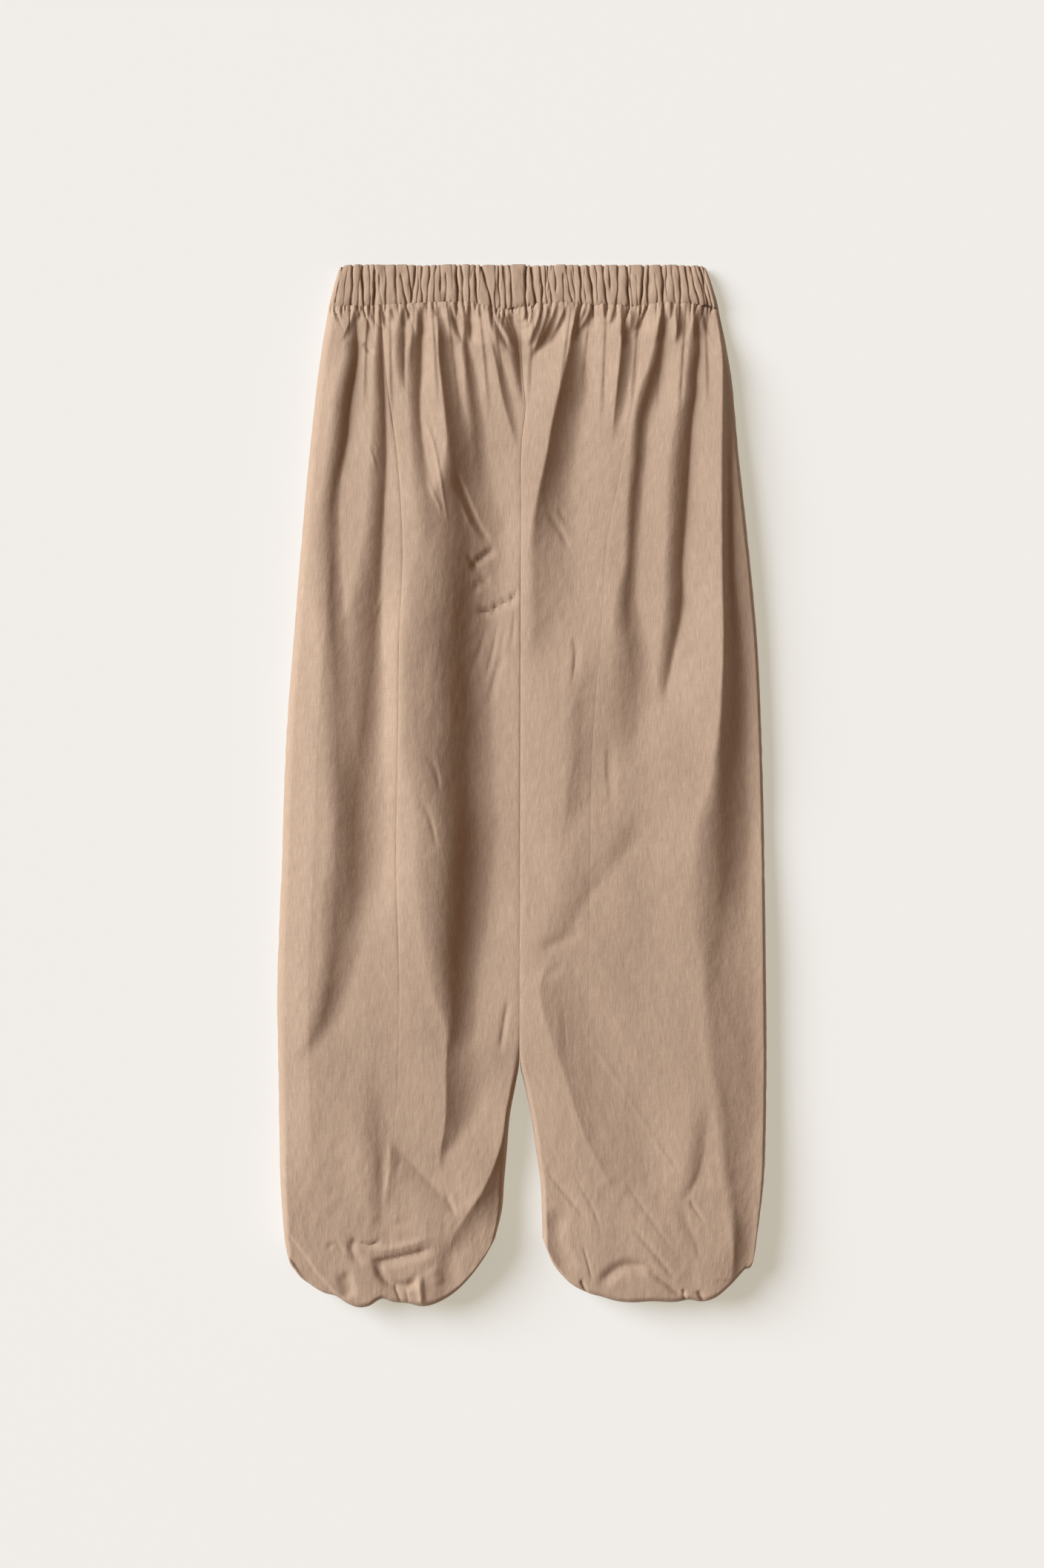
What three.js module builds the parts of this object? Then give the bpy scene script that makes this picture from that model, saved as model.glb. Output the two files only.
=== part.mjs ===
// Balloon trousers in light cotton, laid flat on their back.
// X runs across, Y runs from the hems to the waist, and Z = 0 is the surface they lie on.
// Each cut piece is one closed wall of cloth, 0.3 mm clear of the next piece at its seams.
import * as THREE from "three";

// Driving dimensions in millimetres
const WAIST_TOP = 480;
const BAND_HEIGHT = 38.7;
const BAND_SLANT_LEFT = 9;
const BAND_SLANT_RIGHT = 11;
const SEAM_GAP = 0.3;
const CLOTH_WALL = 1.8;
const BAND_WALL = 2;
const CASING_WALL = 1.4;
const CROTCH_Y = 165;
const CROTCH_DIVE = 50;
const FAN_TOP = -330;
const HEM_CORNER = -415;
const CASING_TOP = -404;
const CASING_DEPTH = 26;
const CASING_WIDTH = 124;
const PANEL_TOP = WAIST_TOP - BAND_HEIGHT - SEAM_GAP;

// Heights of the laid layers
const BAND_THICKNESS = 13;
const SIDE_EDGE_HEIGHT = 6.5;
const INNER_EDGE_HEIGHT = 9;
const HEM_EDGE_HEIGHT = 12;
const LIP_TOP = 22;
const LIP_BOTTOM = 4;
const CASING_MIDDLE = 12;
const CASING_HALF_THICKNESS = 4.6;
const CENTRE_VALLEY = 2.5;
const LOWEST_FRONT = 7;

// Widths of the rolled edges
const OUTER_ROLL = 14;
const INNER_ROLL = 11;
const UNDER_ROLL = 7;

// Gathers
const BAND_WAVES = 90;
const BAND_WAVE_HEIGHT = 1.1;
const WAIST_GATHERS = 30;
const WAIST_GATHER_HEIGHT = 2.2;
const CASING_WAVES = 34;
const POINTS_PER_WAVE = 3;
const CASING_WAVE_HEIGHT = 0.6;

const namedRows = (columns, rows) =>
  rows.map((row) => Object.fromEntries(columns.map((name, i) => [name, row[i]])));

// Edges and leg seams seen from above, from the waistband down to the hem corners
const EDGES = namedRows(
  ["y", "outerLeft", "seamLeft", "innerLeft", "innerRight", "seamRight", "outerRight"],
  [
    [PANEL_TOP, -179, -131, -0.15, 0.15, 111, 180.5],
    [383, -188, -126, -0.15, 0.15, 106, 191.5],
    [301, -197, -115, -0.15, 0.15, 92, 199.5],
    [218, -204.5, -110, -0.15, 0.15, 77, 208.5],
    [136, -211, -113, -0.45, 0.45, 72, 216],
    [54, -217.5, -114, -0.45, 0.45, 65, 220],
    [-69, -222, -116, -0.45, 0.45, 62, 223],
    [-192, -226.4, -113, -0.45, 0.45, 61, 224.5],
    [-255, -225.6, -114, -1.5, 1.2, 62, 225],
    [-311, -224.5, -117, -12.5, 9.8, 66, 224.3],
    [-360, -223.5, -121, -16.8, 16.1, 70, 222.5],
    [HEM_CORNER, -219.5, -124, -25, 18.2, 72, 215.4],
  ],
);

// How far the hem hangs below its corners, across each leg from outer edge to inner edge
const HEM_CURVE = namedRows(
  ["across", "left", "right"],
  [
    [0, 0, 0],
    [0.02, 17, 21],
    [0.06, 31, 29],
    [0.13, 44, 44],
    [0.22, 53, 57],
    [0.33, 62, 58],
    [0.47, 56, 58],
    [0.66, 62, 57.5],
    [0.79, 51, 50],
    [0.9, 31, 36],
    [0.96, 14, 20],
    [1, 0, 0],
  ],
);

// Height of the cloth above the surface, before folds
const LOFT = namedRows(
  ["y", "height"],
  [
    [PANEL_TOP, 11.5],
    [405, 15],
    [340, 18.5],
    [100, 19.5],
    [-240, 20.5],
    [-360, 25],
    [-420, 29],
    [-480, 29],
  ],
);
const LOFT_CROWN = 2.5;

// Folds of the front, each from its upper end to its lower end.
// left and right are its half widths, and a negative rise is a trough.
const FOLDS = namedRows(
  ["topY", "endY", "topX", "midX", "endX", "left", "right", "rise"],
  [
    [470, 20, -151, -181, -180, 13, 15, -7],
    [90, -270, -165, -178, -196, 26, 24, -6],
    [470, 360, -112, -112, -111, 6, 7, -5],
    [470, 250, -70, -65, -46, 9, 11, -6],
    [470, 300, -28, -19, -5, 8, 7, -5],
    [350, -275, -53, -53, -54, 19, 16, -9],
    [450, 225, 50, 33, 12, 5, 38, -8],
    [470, 240, 38, 22, 6, 22, 6, 3],
    [470, 320, 104, 94, 85, 7, 8, -5],
    [470, 130, 130, 106, 82, 11, 13, -7],
    [470, 70, 164, 149, 128, 10, 13, -8],
    [30, -170, 56, 56, 58, 18, 20, -4],
    [-205, -335, 48, 84, 122, 9, 22, -5],
    [-350, -460, 20, 46, 82, 10, 12, -4],
    [-385, -475, 98, 122, 152, 10, 14, -5],
    [-370, -470, 193, 192, 190, 5, 15, -7],
    [-385, -480, -139, -141, -144, 10, 10, -5],
    [-240, -330, -72, -66, -50, 12, 14, -4],
  ],
);

// The right side is folded in like a bellows: beyond this edge only the lower layer lies
const BELLOWS = namedRows(
  ["y", "edge", "drop"],
  [
    [PANEL_TOP, 169, 4],
    [420, 176, 8],
    [345, 188, 10],
    [250, 188, 10],
    [100, 184, 10],
    [0, 180, 9],
    [-70, 169, 5],
    [-230, 160, 0],
  ],
);
const BELLOWS_SLOPE = 9;

// A panel's points run from 0 at its leg seam to 1 at its other end, in these stretches
const FRONT_ROLL_AT = 0.8;
const SIDE_ROLL_AT = 0.4;
const SIDE_EDGE_AT = 0.55;
const UNDERSIDE_AT = 0.65;
const INNER_ROLL_AT = 0.85;

// Rows of the mesh on the straight part, and how closely points lie along them
const ROW_SPACING = 30;
const GATHER_ROWS = namedRows(
  ["y", "spacing"],
  [
    [PANEL_TOP, 2.9],
    [432, 2.9],
    [421, 3.4],
    [408, 5],
    [392, 6.5],
    [371, 8],
  ],
);
const FRONT_SPACING = 12;
const FAN_ROWS = [0.27, 0.52, 0.73, 0.87, 0.94, 0.978, 1];
const RETURN_ROWS = [0.06, 0.28, 0.62, 1];
const LIP_ROLL_START = 0.92;

const ALL_FREE = new THREE.Vector3(1, 1, 1);
const clamp01 = (t) => Math.min(Math.max(t, 0), 1);
const mix = (a, b, t) => a + (b - a) * t;
const smooth = (t) => clamp01(t) ** 2 * (3 - 2 * clamp01(t));
const quarterRound = (t) => Math.sqrt(1 - clamp01(t) ** 2);
const quarterTurn = (u, from, to) => (((u - from) / (to - from)) * Math.PI) / 2;

// Value of one column of a table at a key, along straight runs between its rows
function readTable(rows, keyName, column, key) {
  const falling = rows[0][keyName] > rows[rows.length - 1][keyName];
  const past = (row) => (falling ? row[keyName] <= key : row[keyName] >= key);
  const next = Math.max(rows.findIndex(past), 1);
  if (!past(rows[next])) return rows[rows.length - 1][column];
  const a = rows[next - 1];
  const b = rows[next];
  const t = clamp01((key - a[keyName]) / (b[keyName] - a[keyName]));
  return mix(a[column], b[column], t);
}

function foldRise(x, y) {
  let rise = 0;
  for (const fold of FOLDS) {
    const along = (fold.topY - y) / (fold.topY - fold.endY);
    if (along <= 0 || along >= 1) continue;
    const top = fold.topX * (1 - along) * (1 - 2 * along);
    const middle = fold.midX * 4 * along * (1 - along);
    const end = fold.endX * along * (2 * along - 1);
    const offset = x - (top + middle + end);
    const across = offset / (offset < 0 ? fold.left : fold.right);
    if (Math.abs(across) >= 1) continue;
    const taper = smooth(along / 0.15) * smooth((1 - along) / 0.35);
    rise += fold.rise * taper * (1 - across ** 2) ** 2;
  }
  return rise;
}

function bellowsDrop(x, y) {
  const edge = readTable(BELLOWS, "y", "edge", y);
  const drop = readTable(BELLOWS, "y", "drop", y);
  return drop * smooth((x - edge) / BELLOWS_SLOPE);
}

function waistGather(x, y) {
  const below = PANEL_TOP - y;
  const reach = 42 + 20 * Math.sin(x * 0.061 + 1.1);
  const fade = 1 - smooth(below / reach);
  const strength = 0.75 + 0.35 * Math.sin(x * 0.093);
  const width = EDGES[0].outerRight - EDGES[0].outerLeft;
  const turns = (x / width) * WAIST_GATHERS + 0.35 * Math.sin(x * 0.047);
  return WAIST_GATHER_HEIGHT * fade * strength * Math.cos(2 * Math.PI * turns);
}

// Height of the front above the surface at a point seen from above
function frontHeight(x, y, across) {
  const crown = LOFT_CROWN * (1 - (2 * across - 1) ** 2);
  const loft = readTable(LOFT, "y", "height", y) + crown;
  const height = loft + foldRise(x, y) - bellowsDrop(x, y) + waistGather(x, y);
  return Math.max(height, LOWEST_FRONT);
}

const LEGS = [
  { name: "left", side: -1, outer: "outerLeft", seam: "seamLeft", inner: "innerLeft" },
  { name: "right", side: 1, outer: "outerRight", seam: "seamRight", inner: "innerRight" },
];

// One section through a leg: its edges, its place along Y and the heights of its layers
function legSection(leg, level, fan) {
  const outer = readTable(EDGES, "y", leg.outer, level);
  const seam = readTable(EDGES, "y", leg.seam, level);
  const inner = readTable(EDGES, "y", leg.inner, level);
  const lip = smooth((fan - 0.35) / 0.65);
  const roll = quarterRound((fan - LIP_ROLL_START) / (1 - LIP_ROLL_START));
  const split = smooth((CROTCH_Y + CROTCH_DIVE - level) / CROTCH_DIVE);
  const across = (x) => clamp01((x - outer) / (inner - outer));
  const planY = (x) => {
    const hem = HEM_CORNER - readTable(HEM_CURVE, "across", leg.name, across(x));
    return fan > 0 ? mix(FAN_TOP, hem, fan) : level;
  };
  return {
    atHem: fan > 0,
    outer,
    seam,
    inner,
    planY,
    topZ: (x) => mix(LIP_TOP, frontHeight(x, planY(x), across(x)), roll),
    underY: (x) => planY(x) + 5 * smooth((fan - 0.7) / 0.3),
    underZ: LIP_BOTTOM * (1 - roll),
    edgeZ: mix(SIDE_EDGE_HEIGHT, HEM_EDGE_HEIGHT, lip),
    meetZ: mix(INNER_EDGE_HEIGHT, HEM_EDGE_HEIGHT, lip),
    outerRoll: OUTER_ROLL,
    innerRoll: INNER_ROLL,
    underRoll: UNDER_ROLL,
    split,
  };
}

// The section where the leg is sewn to its hem casing, far narrower than the leg
function casingSection(leg) {
  const outer = readTable(EDGES, "y", leg.outer, HEM_CORNER);
  const seam = readTable(EDGES, "y", leg.seam, HEM_CORNER);
  const inner = readTable(EDGES, "y", leg.inner, HEM_CORNER);
  const middle = (outer + inner) / 2;
  const half = (leg.side * CASING_WIDTH) / 2;
  const top = CASING_MIDDLE + CASING_HALF_THICKNESS;
  return {
    outer: middle + half,
    seam,
    inner: middle - half,
    planY: () => CASING_TOP,
    topZ: () => top,
    underY: () => CASING_TOP,
    underZ: CASING_MIDDLE - CASING_HALF_THICKNESS,
    edgeZ: CASING_MIDDLE,
    meetZ: CASING_MIDDLE,
    outerRoll: CASING_HALF_THICKNESS,
    innerRoll: CASING_HALF_THICKNESS,
    underRoll: CASING_HALF_THICKNESS,
    split: 1,
  };
}

// Point of a front panel: along the top from the leg seam, then down its inner edge
function frontPoint(section, u) {
  const inward = Math.sign(section.inner - section.seam);
  const rollStart = section.inner - inward * section.innerRoll;
  const seamStart = section.seam + (inward * SEAM_GAP) / 2;
  if (u <= FRONT_ROLL_AT) {
    const x = mix(seamStart, rollStart, u / FRONT_ROLL_AT);
    return new THREE.Vector3(x, section.planY(x), section.topZ(x));
  }
  const turn = quarterTurn(u, FRONT_ROLL_AT, 1);
  const x = section.inner - inward * section.innerRoll * (1 - Math.sin(turn));
  const top = section.topZ(x);
  const end = mix(top - CENTRE_VALLEY, section.meetZ + SEAM_GAP, section.split);
  const z = end + (top - end) * Math.cos(turn);
  return new THREE.Vector3(x, section.planY(x), z);
}

// Point of a side and back panel: out along the top from the leg seam, round the outer
// edge, and back along the surface to the centre back or to the inner leg seam
function sideBackPoint(section, u) {
  const outward = Math.sign(section.outer - section.seam);
  const seamStart = section.seam + (outward * SEAM_GAP) / 2;
  if (u <= SIDE_ROLL_AT) {
    const x = mix(seamStart, section.outer - outward * section.outerRoll, u / SIDE_ROLL_AT);
    return new THREE.Vector3(x, section.planY(x), section.topZ(x));
  }
  if (u <= SIDE_EDGE_AT) {
    const turn = quarterTurn(u, SIDE_ROLL_AT, SIDE_EDGE_AT);
    const x = section.outer - outward * section.outerRoll * (1 - Math.sin(turn));
    const z = section.edgeZ + (section.topZ(x) - section.edgeZ) * Math.cos(turn);
    return new THREE.Vector3(x, section.planY(x), z);
  }
  if (u <= UNDERSIDE_AT) {
    const turn = quarterTurn(u, UNDERSIDE_AT, SIDE_EDGE_AT);
    const x = section.outer - outward * section.underRoll * (1 - Math.sin(turn));
    const z = section.edgeZ - (section.edgeZ - section.underZ) * Math.cos(turn);
    const y = mix(section.planY(x), section.underY(x), Math.cos(turn));
    return new THREE.Vector3(x, y, z);
  }
  if (u <= INNER_ROLL_AT) {
    const start = section.outer - outward * section.underRoll;
    const end = section.inner + outward * section.innerRoll;
    const x = mix(start, end, (u - UNDERSIDE_AT) / (INNER_ROLL_AT - UNDERSIDE_AT));
    return new THREE.Vector3(x, section.underY(x), section.underZ);
  }
  const turn = quarterTurn(u, INNER_ROLL_AT, 1);
  const x = section.inner + outward * section.innerRoll * (1 - Math.sin(turn));
  const end = mix(section.underZ, section.meetZ, section.split);
  const z = section.underZ + (end - section.underZ) * (1 - Math.cos(turn));
  const y = mix(section.underY(x), section.planY(x), 1 - Math.cos(turn));
  return new THREE.Vector3(x, y, z);
}

// The stretches of each panel, with how many points they take on the leg and at the hem.
// A stretch with no counts is filled at the row's spacing.
const PANELS = [
  {
    name: "front",
    point: frontPoint,
    stretches: [{ end: FRONT_ROLL_AT }, { end: 1, leg: 3, hem: 3 }],
  },
  {
    name: "side_back",
    point: sideBackPoint,
    stretches: [
      { end: SIDE_ROLL_AT },
      { end: SIDE_EDGE_AT, leg: 4, hem: 4 },
      { end: UNDERSIDE_AT, leg: 2, hem: 2 },
      { end: INNER_ROLL_AT, leg: 3, hem: 9 },
      { end: 1, leg: 3, hem: 3 },
    ],
  },
];

function rowPositions(panel, section, spacing) {
  const positions = [0];
  const part = section.atHem ? "hem" : "leg";
  let start = 0;
  for (const stretch of panel.stretches) {
    const length = panel.point(section, start).x - panel.point(section, stretch.end).x;
    const filled = Math.max(Math.ceil(Math.abs(length) / spacing), 3);
    const count = stretch[part] ?? filled;
    for (let i = 1; i <= count; i += 1) positions.push(mix(start, stretch.end, i / count));
    start = stretch.end;
  }
  return positions;
}

function panelRows(leg, panel) {
  const rows = [];
  const keepRow = (row, split) => {
    row[0].rim = new THREE.Vector3(0, 1, 1);
    row[row.length - 1].rim = new THREE.Vector3(split, 1, 1 - split);
    rows.push(row);
  };
  const addRow = (section, spacing) => {
    const positions = rowPositions(panel, section, spacing);
    keepRow(positions.map((u) => ({ u, point: panel.point(section, u) })), section.split);
  };
  for (const { y, spacing } of GATHER_ROWS) addRow(legSection(leg, y, 0), spacing);
  for (const entry of rows[0]) {
    entry.rim = new THREE.Vector3(1, 0, 1).multiply(entry.rim ?? ALL_FREE);
  }
  const stops = [GATHER_ROWS[GATHER_ROWS.length - 1].y, CROTCH_Y + CROTCH_DIVE, CROTCH_Y, FAN_TOP];
  for (let stop = 1; stop < stops.length; stop += 1) {
    const steps = Math.ceil((stops[stop - 1] - stops[stop]) / ROW_SPACING);
    for (let i = 1; i <= steps; i += 1) {
      const level = mix(stops[stop - 1], stops[stop], i / steps);
      addRow(legSection(leg, level, 0), FRONT_SPACING);
    }
  }
  for (const fan of FAN_ROWS) {
    addRow(legSection(leg, mix(FAN_TOP, HEM_CORNER, fan), fan), FRONT_SPACING);
  }
  const lip = legSection(leg, HEM_CORNER, 1);
  const casing = casingSection(leg);
  for (const inward of RETURN_ROWS) {
    const row = rowPositions(panel, lip, FRONT_SPACING).map((u) => {
      const from = panel.point(lip, u);
      const to = panel.point(casing, u);
      const point = from.clone().lerp(to, inward);
      point.z = to.z + (from.z - to.z) * (1 - inward) ** 3;
      return { u, point };
    });
    keepRow(row, 1);
  }
  return rows;
}

// Triangles between two rows of points that may differ in number
function zipRows(upper, lower, faces) {
  let i = 0;
  let j = 0;
  while (i < upper.length - 1 || j < lower.length - 1) {
    const nextUpper = i < upper.length - 1 ? upper[i + 1].u : Infinity;
    const nextLower = j < lower.length - 1 ? lower[j + 1].u : Infinity;
    if (nextUpper <= nextLower) {
      faces.push([upper[i].index, lower[j].index, upper[i + 1].index]);
      i += 1;
    } else {
      faces.push([upper[i].index, lower[j].index, lower[j + 1].index]);
      j += 1;
    }
  }
}

// A closed wall: the rows are its outer face, and its inner face lies one wall inside.
// A point with a rim vector has its wall turned square to its seam, to keep the seam gap.
function wallGeometry(rows, wall, closedRing) {
  const outer = [];
  for (const row of rows) {
    for (const entry of row) {
      entry.index = outer.length;
      outer.push(entry.point);
    }
    if (closedRing) row.push({ u: 1, index: row[0].index });
  }
  let faces = [];
  for (let r = 0; r + 1 < rows.length; r += 1) zipRows(rows[r], rows[r + 1], faces);
  const normals = outer.map(() => new THREE.Vector3());
  for (const [a, b, c] of faces) {
    const ab = outer[b].clone().sub(outer[a]);
    const normal = ab.cross(outer[c].clone().sub(outer[a]));
    for (const corner of [a, b, c]) normals[corner].add(normal);
  }
  for (const { index, rim } of rows.flat()) if (rim) normals[index].multiply(rim);
  const inner = outer.map((p, i) => p.clone().addScaledVector(normals[i].normalize(), -wall));
  const directed = new Set(faces.flatMap(([a, b, c]) => [`${a}_${b}`, `${b}_${c}`, `${c}_${a}`]));
  const shift = outer.length;
  const rims = [];
  for (const edge of directed) {
    const [a, b] = edge.split("_").map(Number);
    if (directed.has(`${b}_${a}`)) continue;
    rims.push([b, a, a + shift], [b, a + shift, b + shift]);
  }
  const inside = faces.map(([a, b, c]) => [a + shift, c + shift, b + shift]);
  faces = [...faces, ...inside, ...rims];
  const geometry = new THREE.BufferGeometry();
  const coordinates = [...outer, ...inner].flatMap((p) => p.toArray());
  geometry.setAttribute("position", new THREE.Float32BufferAttribute(coordinates, 3));
  geometry.setIndex(faces.flat());
  geometry.computeVertexNormals();
  return geometry;
}

// A flat-lying ring seen end on: along the top, round one end, and back underneath
function ringPoint(left, right, bottom, top, u) {
  const radius = (top - bottom) / 2;
  const straight = right - left - 2 * radius;
  const round = Math.PI * radius;
  const length = 2 * (straight + round);
  let run = u * length;
  const outward = new THREE.Vector3();
  const place = new THREE.Vector3();
  if (run <= straight) {
    outward.set(0, 0, 1);
    place.set(left + radius + run, 0, top);
  } else if (run <= straight + round) {
    run -= straight;
    outward.set(Math.sin(run / radius), 0, Math.cos(run / radius));
    place.set(right - radius, 0, bottom + radius).addScaledVector(outward, radius);
  } else if (run <= 2 * straight + round) {
    run -= straight + round;
    outward.set(0, 0, -1);
    place.set(right - radius - run, 0, bottom);
  } else {
    run -= 2 * straight + round;
    outward.set(-Math.sin(run / radius), 0, -Math.cos(run / radius));
    place.set(left + radius, 0, bottom + radius).addScaledVector(outward, radius);
  }
  return { place, outward };
}

// Rows of a gathered ring, whose waves stand inwards from its smooth outline
function gatheredRingRows(ring, waves, waveHeight) {
  const columns = waves * POINTS_PER_WAVE;
  return ring.map(({ y, left, right, bottom, top }) => {
    const row = [];
    for (let i = 0; i < columns; i += 1) {
      const u = i / columns;
      const uneven = 0.3 * Math.sin(2 * Math.PI * 7 * u) + 0.2 * Math.sin(2 * Math.PI * 17 * u);
      const { place, outward } = ringPoint(left, right, bottom, top, u);
      const height = waveHeight * (0.85 + 0.3 * Math.sin(2 * Math.PI * 11 * u));
      const wave = 0.5 - 0.5 * Math.cos(2 * Math.PI * waves * u + uneven);
      place.addScaledVector(outward, -2 * height * wave);
      place.y = y;
      row.push({ u, point: place, rim: new THREE.Vector3(1, 0, 1) });
    }
    return row;
  });
}

const CLOTH_COLOUR = new THREE.Color().setRGB(0.71, 0.62, 0.53, THREE.SRGBColorSpace);

function clothMesh(name, geometry) {
  const material = new THREE.MeshStandardMaterial({
    color: CLOTH_COLOUR,
    roughness: 0.9,
    metalness: 0,
  });
  const mesh = new THREE.Mesh(geometry, material);
  mesh.name = name;
  return mesh;
}

// The elasticated waistband, one ring with its two halves lying on each other
function waistband() {
  const ringRow = (y, slantLeft, slantRight, thickness) => ({
    y,
    left: EDGES[0].outerLeft + slantLeft,
    right: EDGES[0].outerRight - slantRight,
    bottom: 0,
    top: thickness,
  });
  const lower = ringRow(WAIST_TOP - BAND_HEIGHT, 0, 0, BAND_THICKNESS);
  const upper = ringRow(WAIST_TOP, BAND_SLANT_LEFT, BAND_SLANT_RIGHT, BAND_THICKNESS - 1);
  const rows = gatheredRingRows([upper, lower], BAND_WAVES, BAND_WAVE_HEIGHT);
  return clothMesh("waistband", wallGeometry(rows, BAND_WALL, true));
}

// The gathered casing at a hem, hanging inside the ballooned leg end
function hemCasing(leg) {
  const section = casingSection(leg);
  const ringRow = (y, inset) => ({
    y,
    left: Math.min(section.outer, section.inner) + inset,
    right: Math.max(section.outer, section.inner) - inset,
    bottom: CASING_MIDDLE - CASING_HALF_THICKNESS + inset,
    top: CASING_MIDDLE + CASING_HALF_THICKNESS - inset,
  });
  const upper = CASING_TOP - SEAM_GAP;
  const ring = [ringRow(upper, SEAM_GAP), ringRow(upper - CASING_DEPTH, 2 * SEAM_GAP)];
  const rows = gatheredRingRows(ring, CASING_WAVES, CASING_WAVE_HEIGHT);
  return clothMesh(`hem_casing_${leg.name}`, wallGeometry(rows, CASING_WALL, true));
}

function reverseRow(row) {
  row.reverse();
  for (const entry of row) entry.u = 1 - entry.u;
}

function panelMesh(leg, panel) {
  const rows = panelRows(leg, panel);
  const runsRight = rows[0][0].point.x < rows[0][1].point.x;
  if (!runsRight) rows.forEach(reverseRow);
  return clothMesh(`${panel.name}_${leg.name}`, wallGeometry(rows, CLOTH_WALL, false));
}

const trousers = new THREE.Group();
trousers.add(waistband());
for (const leg of LEGS) {
  for (const panel of PANELS) trousers.add(panelMesh(leg, panel));
  trousers.add(hemCasing(leg));
}

// The origin is the middle of the garment on the surface that it lies on
const box = new THREE.Box3().setFromObject(trousers);
const centre = box.getCenter(new THREE.Vector3());
trousers.position.set(-centre.x, -centre.y, -box.min.z);

export default trousers;
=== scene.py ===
import math

import bpy
import numpy as np
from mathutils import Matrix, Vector


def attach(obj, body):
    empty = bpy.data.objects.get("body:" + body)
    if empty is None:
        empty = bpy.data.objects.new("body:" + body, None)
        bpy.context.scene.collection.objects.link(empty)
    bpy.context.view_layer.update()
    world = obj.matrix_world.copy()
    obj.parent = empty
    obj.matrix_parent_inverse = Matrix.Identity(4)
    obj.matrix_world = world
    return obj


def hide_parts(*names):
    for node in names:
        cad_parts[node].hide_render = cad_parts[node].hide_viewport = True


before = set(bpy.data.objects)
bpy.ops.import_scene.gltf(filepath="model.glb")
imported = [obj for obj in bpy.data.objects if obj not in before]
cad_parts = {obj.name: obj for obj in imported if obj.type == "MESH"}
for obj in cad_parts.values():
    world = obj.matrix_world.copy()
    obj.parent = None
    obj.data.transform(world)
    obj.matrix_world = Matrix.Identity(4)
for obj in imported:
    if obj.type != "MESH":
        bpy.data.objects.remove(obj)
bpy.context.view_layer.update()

# The garment lies flat and is seen from straight above, with its waist at the top of the
# picture. The camera stands high over it, so that the cloth is hardly in perspective.
PICTURE_HEIGHT = 1.448
CAMERA_HEIGHT = 3.4
SENSOR = 36.0
camera_data = bpy.data.cameras.new("camera")
camera_data.sensor_fit = "VERTICAL"
camera_data.sensor_height = SENSOR
camera_data.lens = SENSOR * CAMERA_HEIGHT / PICTURE_HEIGHT
camera = bpy.data.objects.new("camera", camera_data)
camera.location = (0.0, 0.0, CAMERA_HEIGHT)
bpy.context.scene.collection.objects.link(camera)
bpy.context.scene.camera = camera

# A pale seamless surface, a broad soft lamp high on the left and a little above the waist,
# and a faint warm light from all round, as in a studio.
FLOOR_SIZE = 40.0
FLOOR_GAP = 0.0004
LAMP_DIRECTION = (-2.6, 1.1, 1.75)


def set_inputs(node, values):
    for socket, value in values.items():
        node.inputs[socket].default_value = value


bpy.ops.object.select_all(action="DESELECT")
bpy.ops.mesh.primitive_plane_add(size=FLOOR_SIZE, location=(0.0, 0.0, -FLOOR_GAP))
floor = bpy.context.object
floor.name = "floor"
paper = bpy.data.materials.new("pale_paper")
paper.use_nodes = True
set_inputs(paper.node_tree.nodes["Principled BSDF"], {
    "Base Color": (0.457, 0.47, 0.525, 1.0),
    "Emission Color": (0.962, 0.931, 0.77, 1.0),
    "Emission Strength": 0.452,
    "Roughness": 0.9,
})
floor.data.materials.append(paper)

lamp_data = bpy.data.lights.new("left_lamp", "SUN")
lamp_data.energy = 4.5
lamp_data.angle = math.radians(40.0)
lamp_data.color = (0.985, 1.0, 1.03)
lamp = bpy.data.objects.new("left_lamp", lamp_data)
lamp.rotation_euler = Vector(LAMP_DIRECTION).to_track_quat("Z", "Y").to_euler()
bpy.context.scene.collection.objects.link(lamp)
world = bpy.data.worlds.new("studio")
world.use_nodes = True
background = world.node_tree.nodes["Background"]
set_inputs(background, {"Color": (1.0, 0.63, 0.42, 1.0), "Strength": 0.2})
bpy.context.scene.world = world
bpy.context.scene.view_settings.view_transform = "Standard"

# The waistband: a casing of the same cotton folded over wide elastic, which draws it in to
# uneven upright channels. It is one ring whose two halves lie on each other, and it is
# plain for a short way at the front, where the ends of the casing are joined.
MM = 0.001
OFFSET = np.array([0.6, -1.55, 0.0])
WAIST_TOP = 480.0
BAND_BOTTOM = 441.0
BAND_LEFT = -179.0
BAND_RIGHT = 180.5
BAND_SLANT_LEFT = 9.0
BAND_SLANT_RIGHT = 11.0
BAND_THICKNESS = 13.4
BAND_SWELL = 1.2
BAND_TILT = 2.6
BAND_CORNER_DROP = 5.0
BAND_CORNER_REACH = 2.5
BAND_LENGTH = 740.0
BAND_CUT_HEIGHT = 40.0
DEEPEST_CREASE = 5.0
CLOTH_THICKNESS = 0.7
BAND_CLOTH_THICKNESS = 1.2
SEAM_PITCH = 4.5


def smooth(t):
    t = np.clip(t, 0.0, 1.0)
    return t * t * (3.0 - 2.0 * t)


def mix(a, b, t):
    return a + (b - a) * t


def named_rows(columns, rows, **shared):
    """Rows by the names of their columns; a shorter row takes the shared values."""
    return [{**shared, **dict(zip(columns, row))} for row in rows]


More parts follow.
